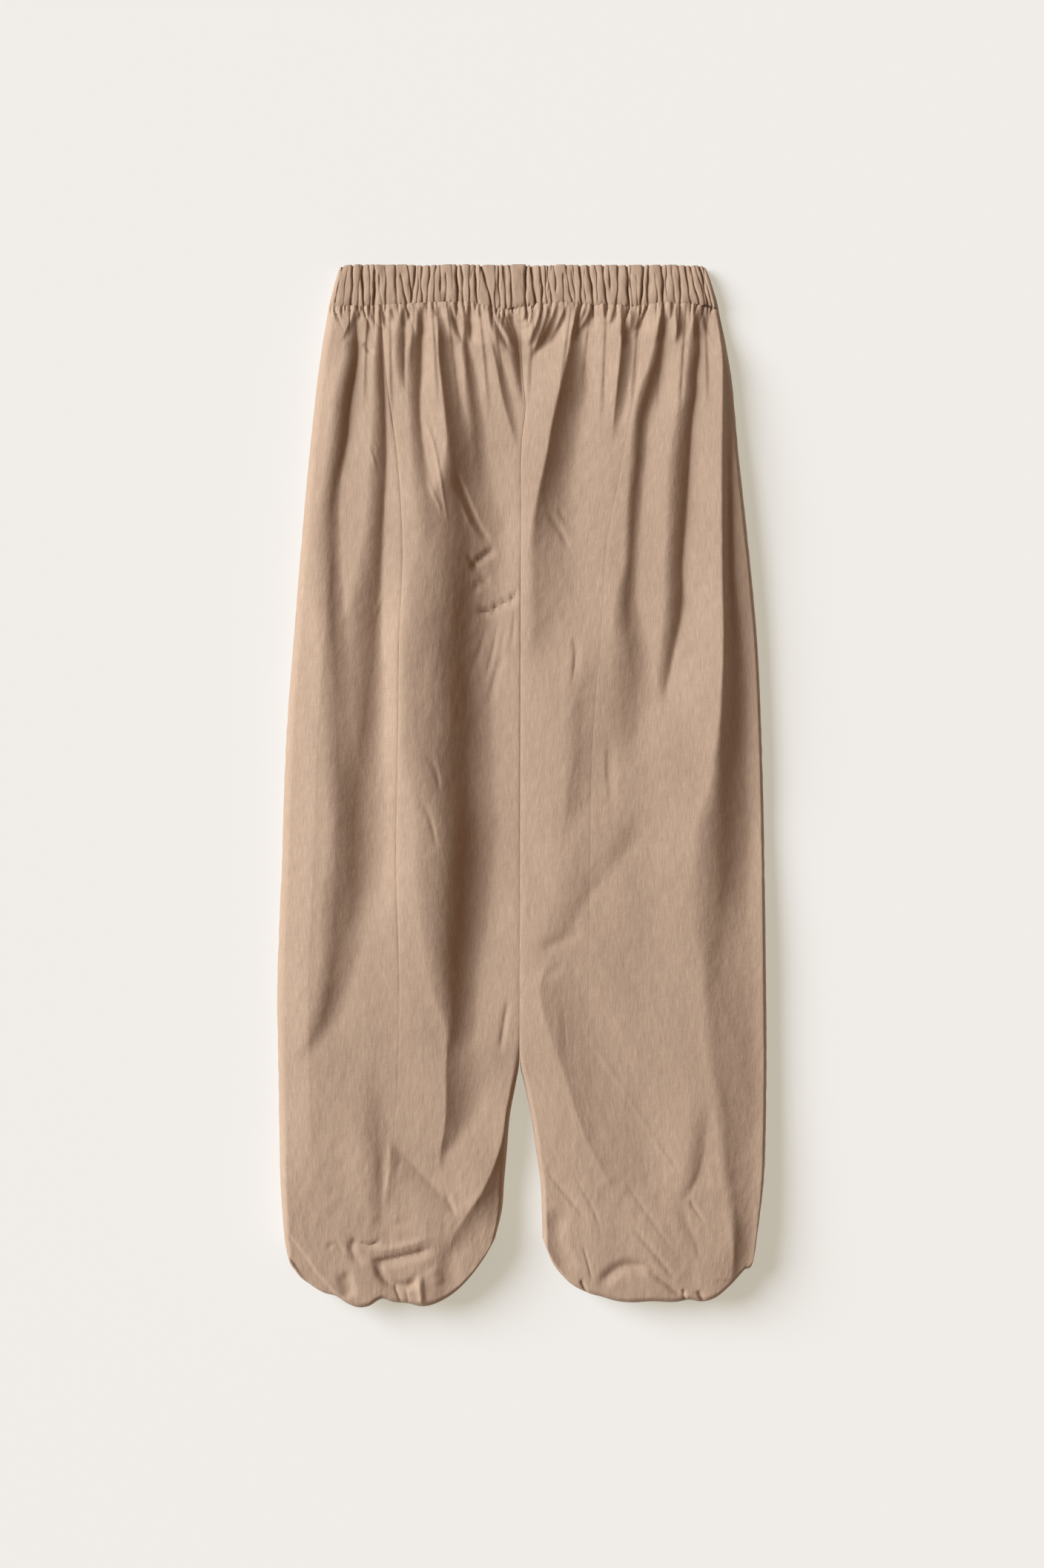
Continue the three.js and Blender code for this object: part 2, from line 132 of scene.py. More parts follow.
def read_table(rows, key_name, column, key):
    """One column of a table at any key, on a smooth line through its rows."""
    keys = np.array([row[key_name] for row in rows], dtype=float)
    values = np.array([row[column] for row in rows], dtype=float)
    order = np.argsort(keys)
    keys, values = keys[order], values[order]
    slopes = np.gradient(values, keys)
    key = np.clip(np.asarray(key, dtype=float), keys[0], keys[-1])
    low = np.clip(np.searchsorted(keys, key) - 1, 0, len(keys) - 2)
    width = keys[low + 1] - keys[low]
    t = (key - keys[low]) / width
    start = (1 + 2 * t) * (1 - t) ** 2 * values[low] + t * (1 - t) ** 2 * width * slopes[low]
    end = t * t * (3 - 2 * t) * values[low + 1] + t * t * (t - 1) * width * slopes[low + 1]
    return start + end


def ripple(x, y, length, seed, waves=9):
    """An uneven ripple between about -1 and 1, as long from crest to crest as length."""
    draw = np.random.default_rng(seed)
    total = np.zeros(np.broadcast(x, y).shape)
    for _ in range(waves):
        angle = draw.uniform(0.0, math.pi)
        turn = draw.uniform(0.0, 2.0 * math.pi)
        pitch = length * draw.uniform(0.7, 1.5)
        run = (x * math.cos(angle) + y * math.sin(angle)) * 2.0 * math.pi / pitch
        total += np.sin(run + turn)
    return total / math.sqrt(waves)


# Height along the seam where the band meets the legs, which the gathers pull up and down
BAND_SEAM = named_rows(["x", "y"], [
    [-181, 438.5], [-140, 439.8], [-99, 441.8], [-71, 443], [-44, 442.4], [-30, 438.8], [-3, 440.2],
    [31, 443], [65, 441.6], [100, 440.4], [134, 442.4], [168, 442.2], [181, 439.5],
])


def band_seam(x):
    return read_table(BAND_SEAM, "x", "y", x) + 0.5 * np.sin(x * 0.83) * np.sin(x * 0.31 + 1.0)


# Creases between the channels on the front of the band: place at the upper edge and at the
# seam, how deep, and the share of the height that each runs, from the upper edge down
CREASE_COLUMNS = ["top", "bottom", "depth", "start", "end"]
BAND_CREASES = named_rows(CREASE_COLUMNS, [
    [-171, -176.5, 1.6], [-166.5, -172.5, 2], [-160, -166.5, 1.2, 0.1, 1], [-156.5, -158.5, 2.4],
    [-150, -151, 1.3], [-148, -146.5, 2.8], [-140.5, -141, 1.6], [-137.5, -136.5, 3, 0.2, 1],
    [-133, -129.5, 1.6, 0.3, 1], [-136, -132, 1.4, 0, 0.6], [-127, -126, 1.8, 0.1, 1],
    [-118, -114.5, 2], [-113, -107.5, 2.4, 0.3, 1], [-106, -102.5, 2.2, 0, 0.9],
    [-99, -101.5, 2.4, 0, 0.8], [-92.5, -93, 2, 0, 0.9], [-95.5, -98, 1.4], [-86, -87.5, 2],
    [-80, -81.5, 1.6], [-75, -77, 1.8, 0, 0.6], [-71.5, -70, 1.8, 0.3, 1], [-66, -62, 1.2, 0, 0.5],
    [-60.5, -60.5, 3.2], [-56.5, -55, 2.2], [-50, -48, 1.8], [-43, -42.5, 3], [-38.5, -28.5, 2.8],
    [-26, -24.5, 1.6], [-22, -20.5, 2.2], [-17.5, -16, 2], [-12.5, -9.5, 2.2], [2.8, 3.2, 3.4],
    [8, 10.5, 2.8], [15.5, 18.5, 2.6], [20.5, 23, 1.8], [23, 26.5, 1.8], [29.5, 30.5, 2, 0, 0.6],
    [36, 39, 1.8, 0.3, 1], [40, 45.5, 1.8, 0, 0.9], [44.5, 48.5, 1.6, 0.2, 1], [51.5, 54.5, 2.6],
    [56.5, 58.5, 1.4, 0.2, 0.8], [61.5, 64.5, 3], [66.5, 69, 1.6, 0, 0.8], [73, 78.5, 2.6],
    [80, 82, 1.8, 0, 0.5], [87.5, 86, 2], [95.5, 98.5, 3.2], [99.5, 101, 1.6],
    [104, 105, 1.4, 0.3, 1], [110.5, 109.5, 3.2], [116, 115, 2.2], [122, 123.5, 1.6, 0.3, 1],
    [127.5, 129.5, 3], [131.5, 133.5, 1.8, 0, 0.7], [138, 140, 1.6, 0.1, 1], [143.5, 145, 2.2],
    [148.5, 155.5, 2.2], [155, 162, 2.4], [159, 168, 1.8], [162, 171, 2.8], [166, 174.5, 2],
], start=0, end=1)
# Finer creases between them, and plainer ones on the hidden back of the band
FINE_CREASES = 34
fine_draw = np.random.default_rng(19)
for place in np.linspace(-170.0, 172.0, FINE_CREASES):
    top = place + fine_draw.uniform(-2.4, 2.4)
    start = fine_draw.choice([0.0, 0.0, 0.25, 0.5])
    BAND_CREASES.append({
        "top": top,
        "bottom": top + fine_draw.uniform(-4.5, 4.5),
        "depth": fine_draw.uniform(0.6, 1.4),
        "start": start,
        "end": start + fine_draw.uniform(0.25, 0.6),
    })
BACK_CREASES = 58
back_draw = np.random.default_rng(11)
back_places = np.linspace(-172.0, 172.0, BACK_CREASES) + back_draw.uniform(-2.0, 2.0, BACK_CREASES)
BACK_BAND_CREASES = named_rows(CREASE_COLUMNS, [
    [place, place * 1.03 + back_draw.uniform(-2.5, 2.5), back_draw.uniform(1.2, 2.8)]
    for place in back_places
], start=0, end=1)


def band_relief(creases, x, down):
    """How far the band's face lies below its channels' tops, with down from 0 to 1."""
    relief = np.zeros(x.shape)
    for i, crease in enumerate(creases):
        sway = 0.7 * np.sin(down * 4.0 + i * 1.9) + 0.3 * np.sin(down * 11.0 + i * 2.9)
        place = mix(crease["top"], crease["bottom"], down) + sway
        fade = smooth((down - crease["start"] + 0.12) / 0.12)
        fade = fade * smooth((crease["end"] - down + 0.16) / 0.16)
        offset = x - place
        steep_side = 0.45 + 0.15 * math.sin(i * 2.3)
        gentle_side = 1.6 - 0.7 * math.sin(i * 2.3)
        spread = np.where(offset < 0.0, steep_side, gentle_side)
        depth = 0.45 * crease["depth"] ** 1.95 * (1.0 + 0.35 * math.sin(down * 7.0 + i * 2.2))
        relief += depth * fade * np.exp(-np.abs(offset) / spread)
    return np.minimum(relief, DEEPEST_CREASE)


def cloth_grid(name, points, lengths, closed=False, flip=False):
    """A sheet of cloth through rows of points in millimetres, with its own UV in metres."""
    rows, columns = points.shape[:2]
    mesh = bpy.data.meshes.new(name)
    index = np.arange(rows * columns).reshape(rows, columns)
    if closed:
        index = np.concatenate([index, index[:, :1]], axis=1)
    quads = np.stack([index[:-1, :-1], index[1:, :-1], index[1:, 1:], index[:-1, 1:]], axis=-1)
    if flip:
        quads = quads[..., ::-1]
    quads = quads.reshape(-1, 4)
    mesh.vertices.add(rows * columns)
    mesh.vertices.foreach_set("co", ((points + OFFSET) * MM).reshape(-1))
    mesh.loops.add(quads.size)
    mesh.loops.foreach_set("vertex_index", quads.reshape(-1).astype(np.int32))
    mesh.polygons.add(len(quads))
    mesh.polygons.foreach_set("loop_start", np.arange(0, quads.size, 4, dtype=np.int32))
    uv = mesh.uv_layers.new(name="cloth")
    uv.data.foreach_set("uv", (lengths.reshape(-1, 2) * MM)[quads.reshape(-1)].reshape(-1))
    mesh.update(calc_edges=True)
    mesh.validate()
    piece = bpy.data.objects.new(name, mesh)
    bpy.context.scene.collection.objects.link(piece)
    return piece


def give_thickness(piece, thickness):
    bpy.ops.object.select_all(action="DESELECT")
    piece.select_set(True)
    bpy.context.view_layer.objects.active = piece
    solid = piece.modifiers.new("thickness", "SOLIDIFY")
    solid.thickness = thickness * MM
    solid.offset = -1.0
    solid.use_rim = True
    bpy.ops.object.modifier_apply(modifier=solid.name)
    bpy.ops.object.shade_smooth_by_angle(angle=math.radians(50.0))


def cotton_material():
    """Plain-woven cotton in a warm stone brown, with slubby threads and fine crumple."""
    cotton = bpy.data.materials.new("stone_cotton")
    cotton.use_nodes = True
    nodes = cotton.node_tree.nodes
    links = cotton.node_tree.links
    shader = nodes["Principled BSDF"]
    set_inputs(shader, {
        "Roughness": 0.86,
        "Sheen Weight": 0.12,
        "Sheen Roughness": 0.5,
        "Sheen Tint": (1.0, 0.93, 0.86, 1.0),
        "Specular IOR Level": 0.22,
    })
    cloth_map = nodes.new("ShaderNodeUVMap")
    cloth_map.uv_map = "cloth"

    def scaled(across, along):
        mapping = nodes.new("ShaderNodeMapping")
        set_inputs(mapping, {"Scale": (across, along, 1.0)})
        links.new(cloth_map.outputs["UV"], mapping.inputs["Vector"])
        return mapping.outputs["Vector"]

    def noise(vector, detail, roughness):
        node = nodes.new("ShaderNodeTexNoise")
        set_inputs(node, {"Scale": 1.0, "Detail": detail, "Roughness": roughness})
        links.new(vector, node.inputs["Vector"])
        return node.outputs["Fac"]

    def blend(kind, factor, a, b):
        node = nodes.new("ShaderNodeMix")
        node.data_type = "RGBA"
        node.blend_type = kind
        set_inputs(node, {"Factor": factor})
        links.new(a, node.inputs["A"])
        links.new(b, node.inputs["B"])
        return node.outputs["Result"]

    def ramp(source, low, high, dark, light):
        node = nodes.new("ShaderNodeValToRGB")
        node.color_ramp.elements[0].position = low
        node.color_ramp.elements[0].color = dark
        node.color_ramp.elements[1].position = high
        node.color_ramp.elements[1].color = light
        links.new(source, node.inputs["Fac"])
        return node.outputs["Color"]

    def bump(strength, distance, height, under=None):
        node = nodes.new("ShaderNodeBump")
        set_inputs(node, {"Strength": strength, "Distance": distance})
        links.new(height, node.inputs["Height"])
        if under is not None:
            links.new(under, node.inputs["Normal"])
        return node.outputs["Normal"]

    white = (1.0, 1.0, 1.0, 1.0)
    slub = noise(scaled(1100.0, 70.0), 2.0, 0.6)
    weft = noise(scaled(60.0, 1300.0), 2.0, 0.6)
    cloud = noise(scaled(14.0, 9.0), 3.0, 0.55)
    tone = ramp(slub, 0.3, 0.7, (0.43, 0.309, 0.222, 1.0), (0.53, 0.398, 0.294, 1.0))
    across = ramp(weft, 0.3, 0.7, (0.93, 0.93, 0.93, 1.0), white)
    patch = ramp(cloud, 0.3, 0.72, (0.95, 0.94, 0.93, 1.0), white)
    colour = blend("MULTIPLY", 1.0, blend("MULTIPLY", 1.0, tone, across), patch)
    links.new(colour, shader.inputs["Base Color"])
    crumpled = bump(0.5, 0.0011, noise(scaled(150.0, 95.0), 5.0, 0.62))
    links.new(bump(0.35, 0.00025, slub, crumpled), shader.inputs["Normal"])
    return cotton


cotton = cotton_material()


def finish_cloth(piece, node, thickness=CLOTH_THICKNESS):
    give_thickness(piece, thickness)
    piece.data.materials.append(cotton)
    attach(piece, "root")
    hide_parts(node)


def ring_outline(left, right, bottom, top, share):
    """Points round a flat-lying ring, from its left end along the top and back below."""
    radius = (top - bottom) / 2.0
    straight = right - left - 2.0 * radius
    bend = math.pi * radius
    run = share * 2.0 * (straight + bend)
    on_top = run <= straight
    on_right = (run > straight) & (run <= straight + bend)
    below = (run > straight + bend) & (run <= 2.0 * straight + bend)
    right_turn = (run - straight) / radius
    left_turn = (run - 2.0 * straight - bend) / radius
    x = np.select(
        [on_top, on_right, below],
        [left + radius + run, right - radius + radius * np.sin(right_turn),
         right - radius - (run - straight - bend)],
        left + radius - radius * np.sin(left_turn),
    )
    middle = bottom + radius
    z = np.select(
        [on_top, on_right, below],
        [top, middle + radius * np.cos(right_turn), bottom],
        middle - radius * np.cos(left_turn),
    )
    return x, z


# Most columns of the ring lie on its front, which is a little more than half of its length.
BAND_COLUMNS = 1200
BAND_ROWS = 30
FRONT_COLUMNS = 0.8
FRONT_LENGTH = 0.52
band_count = np.arange(BAND_COLUMNS) / BAND_COLUMNS
band_share = np.where(
    band_count < FRONT_COLUMNS,
    band_count / FRONT_COLUMNS * FRONT_LENGTH,
    FRONT_LENGTH + (band_count - FRONT_COLUMNS) / (1.0 - FRONT_COLUMNS) * (1.0 - FRONT_LENGTH),
)
band_rows = []
band_lengths = []
for down in np.linspace(0.0, 1.0, BAND_ROWS):
    left = BAND_LEFT + BAND_SLANT_LEFT * (1.0 - down) ** 1.15
    right = BAND_RIGHT - BAND_SLANT_RIGHT * (1.0 - down) ** 1.15
    swell = 1.0 - 0.9 * (2.0 * down - 1.0) ** 4
    top_z = BAND_THICKNESS + BAND_SWELL * swell - BAND_TILT * (1.0 - down)
    x, z = ring_outline(left, right, 0.0, top_z, band_share)
    upper = smooth((z - 0.2 * top_z) / (0.6 * top_z))
    relief = band_relief(BAND_CREASES, x, down) * upper
    relief += band_relief(BACK_BAND_CREASES, x, down) * 0.55 * (1.0 - upper)
    inward = (z - top_z / 2.0) / (top_z / 2.0)
    z = z - relief * inward + 0.3 * ripple(x, np.full(x.shape, down * 38.0), 14.0, 3) * upper
    pucker = 0.8 + 1.3 * np.maximum(ripple(x, 0.0 * x, SEAM_PITCH, 43), 0.0)
    z -= pucker * upper * math.exp(-(1.0 - down) * (WAIST_TOP - BAND_BOTTOM) / 1.6)
    z = np.maximum(z, 0.0)
    notch = 0.45 * band_relief(BAND_CREASES, x, 0.0) + 0.5 * ripple(x, x * 0.0, 40.0, 5)
    corner = np.exp((left - x) / BAND_CORNER_REACH) + np.exp((x - right) / BAND_CORNER_REACH)
    y_top = WAIST_TOP - notch * upper - 0.3 - BAND_CORNER_DROP * corner
    y = mix(y_top, band_seam(x), down)
    band_rows.append(np.stack([x, y, z], axis=-1))
    length_down = np.full(x.shape, down * BAND_CUT_HEIGHT)
    band_lengths.append(np.stack([band_share * BAND_LENGTH, length_down], axis=-1))
waistband = cloth_grid("band_cloth", np.array(band_rows), np.array(band_lengths), closed=True)
finish_cloth(waistband, "waistband", BAND_CLOTH_THICKNESS)


def add_lengths(points):
    """UV lengths in millimetres for a grid of points, from its mean spacing."""
    across = np.linalg.norm(np.diff(points, axis=1), axis=2).mean(axis=0)
    along = np.linalg.norm(np.diff(points, axis=0), axis=2).mean(axis=1)
    u = np.concatenate([[0.0], np.cumsum(across)])
    v = np.concatenate([[0.0], np.cumsum(along)])
    return np.stack(np.broadcast_arrays(u[None, :], v[:, None]), axis=-1)


# The legs: each is a front panel and one panel for the side and back, of the same cotton.
# They are cut very wide, gathered into the waistband and hem casings, and sewn together at
# the centre, the inner leg and a long seam down the front of each leg.
PANEL_TOP = 441.0
CROTCH_Y = 165.0
CROTCH_DIVE = 50.0
# Below this level the rows fan out, so that the last one follows the rounded hem.
FAN_TOP = -330.0
HEM_CORNER = -415.0
CASING_TOP = -404.0
CASING_DEPTH = 26.0
CASING_WIDTH = 124.0
SIDE_EDGE_HEIGHT = 6.5
CENTRE_VALLEY = 0.8
HEM_EDGE_HEIGHT = 12.0
LIP_TOP = 22.0
LIP_BOTTOM = 4.0
CASING_MIDDLE = 12.0
CASING_HALF_THICKNESS = 4.6
OUTER_ROLL = {"left": 8.0, "right": 4.0}
INNER_ROLL = 5.0
UNDER_ROLL = 7.0
LIP_ROLL_START = 0.96
LOFT_CROWN = 2.5
LOWEST_FRONT = 3.6
LEFT_EDGE_SINK = 8.0
LEFT_EDGE_REACH = 30.0
UNDER_LIFT = 2.0
EDGE_WAVE = 0.35

EDGES = named_rows(["y", "outer_left", "seam_left", "seam_right", "outer_right"], [
    [PANEL_TOP, -179, -131, 111, 180.5], [383, -188, -126, 106, 191.5],
    [301, -197, -115, 92, 199.5], [218, -204.5, -110, 77, 208.5], [136, -211, -113, 72, 216],
    [54, -217.5, -114, 65, 220], [-69, -222, -116, 62, 223], [-192, -226.4, -113, 61, 224.5],
    [-255, -225.6, -114, 62, 225], [-311, -224.5, -117, 66, 224.3], [-360, -223.5, -121, 70, 222.5],
    [HEM_CORNER, -219.5, -124, 72, 215.4],
])
CENTRE_LINE = named_rows(["y", "left", "right"], [
    [441, -2.4, -2.4], [424, -2, -2], [397, -1, -1], [369, 1, 1], [351, 2.6, 2.6], [314, -1, -1],
    [250, -1.6, -1.6], [0, -2.4, -2.4], [-234, -3, -3], [-258, -3.6, -2.2], [-275, -6.5, 1.6],
    [-302, -11.5, 7.2], [-336, -14.5, 12.4], [-364, -17, 16.4], [-390, -19, 17.6],
    [HEM_CORNER, -25, 18.2],
])
HEM_DROPS = {
    "left": named_rows(["across", "drop"], [
        [0, 0], [0.02, 17], [0.06, 31], [0.13, 43], [0.19, 50], [0.246, 53], [0.303, 60],
        [0.355, 63.5], [0.4, 62.5], [0.471, 55.5], [0.507, 58], [0.585, 59.7], [0.659, 62.5],
        [0.76, 56], [0.806, 50], [0.9, 31], [0.96, 14], [1, 0],
    ]),
    "right": named_rows(["across", "drop"], [
        [0, 0], [0.02, 21], [0.06, 29], [0.13, 44], [0.2, 55], [0.27, 58], [0.31, 56.5],
        [0.38, 58.5], [0.5, 58], [0.58, 59], [0.66, 57.5], [0.72, 54], [0.79, 50], [0.9, 36],
        [0.96, 20], [1, 0],
    ]),
}
LOFT = named_rows(["y", "height"], [
    [PANEL_TOP, 13], [405, 18], [340, 21.5], [100, 22], [-240, 22.5], [-360, 26], [-420, 29],
    [-480, 29],
])

# The large folds of the front. Where the cloth falls away to the right it lies in shade, so
# each fold is a run of sections down the leg: the place of its steepest fall, how far that
# reaches to the left and to the right, and how steep it is.
FALL_COLUMNS = ["y", "x", "left", "right", "steep"]
OUTER_LEFT_FALL = [
    [441, -153, 4, 1.5, 0.9], [425, -153, 9, 1.5, 1.1], [397, -152, 10, 1.5, 1.2],
    [355, -158.5, 13, 1.5, 1.25], [314, -163.5, 13, 3, 1.1], [273, -172, 11, 5, 0.9],
    [246, -175, 13, 7, 0.72], [191, -175, 16, 9, 0.54], [120, -172, 12, 12, 0.42],
    [60, -170, 12, 12, 0.36], [0, -168, 10, 16, 0.36], [-60, -168, 10, 20, 0.3],
    [-124, -172, 12, 22, 0.32], [-165, -174, 11, 19, 0.42], [-190, -177, 11, 16, 0.42],
    [-213, -182, 12, 12, 0.36], [-240, -197, 8, 10, 0.2], [-257, -210, 2, 6, 0],
]
BESIDE_SEAM_FALL = [
    [441, -131, 2, 1.5, 0.8], [420, -130, 5, 1.5, 0.8], [397, -129, 7, 1.5, 0.85],
    [355, -127, 9, 1.5, 0.8], [300, -126, 12, 2, 0.75], [246, -129, 12, 3, 0.65],
    [191, -132, 18, 4, 0.56], [150, -136, 22, 7, 0.48], [109, -139, 22, 11, 0.42],
    [75, -142, 20, 14, 0.4], [40, -147, 16, 17, 0.37], [0, -152, 14, 22, 0.31],
    [-40, -155, 14, 25, 0.28], [-97, -156, 14, 22, 0.24], [-140, -160, 12, 12, 0],
]
THIRD_LEFT_FALL = [
    [441, -108, 2, 1.5, 0.8], [428, -108.6, 7, 1.3, 0.8], [400, -108.6, 8, 1.3, 0.85],
    [383, -108.6, 7, 1.3, 0.7], [360, -108, 4, 1.3, 0],
]
FOURTH_LEFT_FALL = [
    [441, -91, 2, 1.5, 0.8], [424, -92.5, 6, 1.5, 0.85], [397, -93.5, 11, 1.3, 0.95],
    [383, -93.5, 11, 1.3, 0.9], [355, -95, 9, 1.5, 0.72], [314, -93, 9, 3, 0.52],
    [283, -90, 11, 6, 0.34], [250, -86, 12, 8, 0.3], [215, -84, 12, 8, 0],
]
GREAT_LEFT_FALL = [
    [441, -79, 1.5, 3, 0.8], [424, -77, 1.5, 8, 0.9], [397, -76, 1.5, 11, 1],
    [355, -71.5, 1.5, 13, 1], [340, -70, 1.5, 15, 1], [314, -66, 4, 21, 0.85],
    [287, -63, 10, 27, 0.72], [265, -61, 20, 28, 0.6], [246, -57, 28, 33, 0.56],
    [225, -54, 34, 30, 0.54], [200, -54, 38, 29, 0.53], [170, -55, 40, 27, 0.56],
    [136, -55, 46, 23, 0.62], [80, -54, 46, 22, 0.66], [34, -53, 46, 22, 0.7],
    [0, -53, 40, 22, 0.74], [-40, -53, 34, 24, 0.78], [-80, -56, 32, 23, 0.8],
    [-124, -58, 28, 21, 0.8], [-160, -61, 22, 18, 0.8], [-200, -62, 14, 17, 0.72],
    [-226, -64, 6, 18, 0.65], [-242, -68, 2, 20, 0.45], [-262, -69, 1.5, 32, 0.4],
    [-285, -69, 1.5, 28, 0.42], [-310, -70, 1.5, 19, 0.42], [-335, -74, 1.5, 8, 0.36],
    [-351, -76, 1.5, 3, 0],
]
SMALL_LEFT_FALLS = [
    [[420, -54, 2, 3, 0], [400, -52, 4, 5, 0.6], [383, -49, 5, 6, 0.65], [355, -46, 6, 7, 0.6],
     [330, -43, 6, 8, 0.5], [300, -41, 5, 8, 0.3], [278, -40, 3, 5, 0]],
    [[412, -29, 1.5, 2, 0], [390, -24, 1.5, 5, 0.55], [355, -17, 1.5, 8, 0.55],
     [330, -10, 1.5, 6, 0.4], [310, -5, 1, 3, 0]],
    [[441, -14, 3, 2, 0.9], [428, -10, 6, 2, 1], [415, -6, 8, 1.5, 1.1], [400, -4, 8, 1.3, 1],
     [380, -2.5, 6, 1.2, 0.8], [352, 0, 4, 1.2, 0]],
    [[441, -142, 1.5, 2, 0.8], [425, -142, 2, 3, 0.7], [405, -143, 2, 2, 0]],
]
LEFT_HEM_FALLS = [
    [[-250, -138, 12, 10, 0], [-285, -137, 14, 12, 0.14], [-320, -134, 16, 10, 0.2],
     [-350, -131, 16, 6, 0.24], [-385, -130, 14, 3, 0.22], [-412, -132, 8, 2, 0]],
    [[-322, -124, 20, 2, 0], [-345, -104, 26, 2, 0.2], [-370, -80, 26, 2, 0.22],
     [-394, -59, 14, 2, 0]],
    [[-254, -2.6, 1.3, 3, 0.2], [-275, -5.5, 1.3, 5, 0.8], [-295, -10, 1.5, 8, 0.9],
     [-330, -19, 1.5, 13, 0.8], [-355, -28, 1.5, 19, 0.62], [-375, -38, 1.5, 25, 0.5],
     [-392, -49, 2, 25, 0.36], [-412, -62, 2, 22, 0.22], [-434, -72, 2, 18, 0]],
]
BIG_RIGHT_FALL = [
    [441, 50, 1.5, 4, 0.8], [432, 49, 1.5, 4, 0.9], [407, 45, 1.5, 10, 1], [384, 40, 1.5, 15, 1],
    [369, 36.6, 1.5, 19, 0.95], [342, 30, 1.5, 20, 0.9], [301, 23, 2, 21, 0.8],
    [273, 17.5, 3, 22, 0.68], [246, 13, 4, 30, 0.46], [218, 12, 6, 31, 0.32],
    [180, 14, 8, 27, 0.24], [140, 14, 8, 22, 0.16], [112, 10, 6, 18, 0],
]
THIRD_RIGHT_FALL = [
    [441, 130, 2, 1.5, 0.8], [424, 129, 6, 3, 0.8], [397, 125, 6, 5, 0.95], [355, 114, 8, 7, 0.9],
    [342, 110, 7, 7, 0.88], [301, 106, 7, 7, 0.78], [246, 101, 6, 7, 0.68], [205, 99, 6, 7, 0.58],
    [164, 95, 10, 10, 0.5], [130, 99, 14, 14, 0.32], [100, 101, 18, 16, 0.22],
    [60, 100, 18, 14, 0.14], [20, 98, 14, 12, 0],
]
FOURTH_RIGHT_FALL = [
    [441, 162, 3, 1.5, 0.8], [424, 162, 8, 1.3, 0.95], [397, 162, 9, 1.3, 1.05],
    [383, 160, 9, 1.3, 1.05], [355, 158, 10, 1.5, 1], [342, 156, 12, 1.5, 0.95],
    [301, 153, 15, 1.5, 0.85], [246, 149, 14, 2, 0.82], [205, 146, 13, 2, 0.78],
    [164, 145, 13, 3, 0.66], [122, 137, 10, 3, 0.5], [95, 132, 8, 3, 0.35], [74, 128, 4, 3, 0],
]
BELLOWS_FALL = [
    [441, 178, 1.5, 5, 0.8], [430, 180, 1.5, 7, 0.7], [397, 184.5, 1.3, 9, 1.2],
    [355, 186, 3, 9, 1.3], [300, 186, 4, 7, 1.5], [246, 186, 4, 7, 1.9], [191, 185.5, 3, 9, 1.7],
    [136, 185.5, 2, 14, 1.4], [68, 183.5, 3, 19, 1.2], [34, 183, 6, 19, 1], [-1, 184, 11, 18, 0.8],
    [-28, 186, 20, 20, 0.66], [-69, 186, 24, 20, 0.5], [-110, 183, 22, 20, 0.38],
    [-160, 173, 9, 32, 0.24], [-230, 176, 9, 32, 0.22], [-300, 186, 8, 26, 0.25],
    [-350, 190, 8, 20, 0.27], [-390, 195, 6, 14, 0.36], [-425, 195, 3, 14, 0.6],
    [-452, 193, 2, 8, 0.3],
]
SMALL_RIGHT_FALLS = [
    [[441, 94, 1.5, 3, 0.8], [427, 93, 1.5, 7, 0.9], [397, 91, 1.5, 9, 0.92],
     [369, 88, 1.5, 9, 0.82], [349, 86, 1.5, 8, 0.62], [316, 83, 1.5, 3, 0]],
    [[441, 142, 1.5, 1.5, 0.8], [430, 142, 2, 2, 0.9], [413, 143, 1.5, 1.5, 0]],
    [[441, 113, 2, 1.5, 0.8], [430, 110, 3, 2, 0.9], [409, 103, 3, 2, 0]],
]
RIGHT_MIDDLE_FALLS = [
    [[380, 198, 8, 10, 0], [330, 200, 10, 14, 0.14], [200, 205, 14, 16, 0.1],
     [60, 205, 16, 18, 0.08], [-60, 204, 18, 20, 0.06], [-200, 206, 16, 18, 0.05],
     [-320, 208, 12, 16, 0.06], [-400, 206, 8, 10, 0]],
    [[128, 56, 8, 24, 0], [105, 53, 10, 38, 0.12], [49, 51, 10, 42, 0.16], [20, 48, 8, 32, 0.17],
     [5, 45, 5, 26, 0.18], [-20, 42, 4, 18, 0.18], [-39, 38, 2, 6, 0]],
    [[-18, 102, 30, 10, 0], [-50, 96, 38, 10, 0.13], [-80, 74, 32, 8, 0.14],
     [-110, 52, 24, 6, 0.14], [-140, 34, 16, 5, 0.14], [-153, 17, 6, 3, 0]],
    [[-163, 25, 2, 20, 0], [-182, 18, 2, 32, 0.15], [-226, 26, 2, 46, 0.17],
     [-270, 41, 2, 52, 0.17], [-326, 61, 2, 48, 0.17], [-364, 81, 2, 30, 0.12],
     [-388, 93, 2, 20, 0]],
    [[-198, 36, 4, 3, 0], [-215, 38, 7, 2, 0.14], [-240, 39, 7, 2, 0.14], [-263, 41, 3, 2, 0]],
]
RIGHT_HEM_FALLS = [
    [[-290, 164, 12, 8, 0], [-312, 165, 14, 6, 0.14], [-334, 164, 13, 4, 0.22],
     [-353, 161, 12, 3, 0.26], [-368, 155, 11, 2, 0.24], [-381, 145, 8, 2, 0]],
    [[-376, 143, 8, 2, 0], [-395, 148, 10, 2, 0.2], [-415, 156, 10, 2, 0.2], [-438, 163, 5, 2, 0]],
]
FALLS = [OUTER_LEFT_FALL, BESIDE_SEAM_FALL, THIRD_LEFT_FALL, FOURTH_LEFT_FALL, GREAT_LEFT_FALL]
FALLS += [BIG_RIGHT_FALL, THIRD_RIGHT_FALL, FOURTH_RIGHT_FALL, BELLOWS_FALL]
FALLS += SMALL_LEFT_FALLS + LEFT_HEM_FALLS + SMALL_RIGHT_FALLS
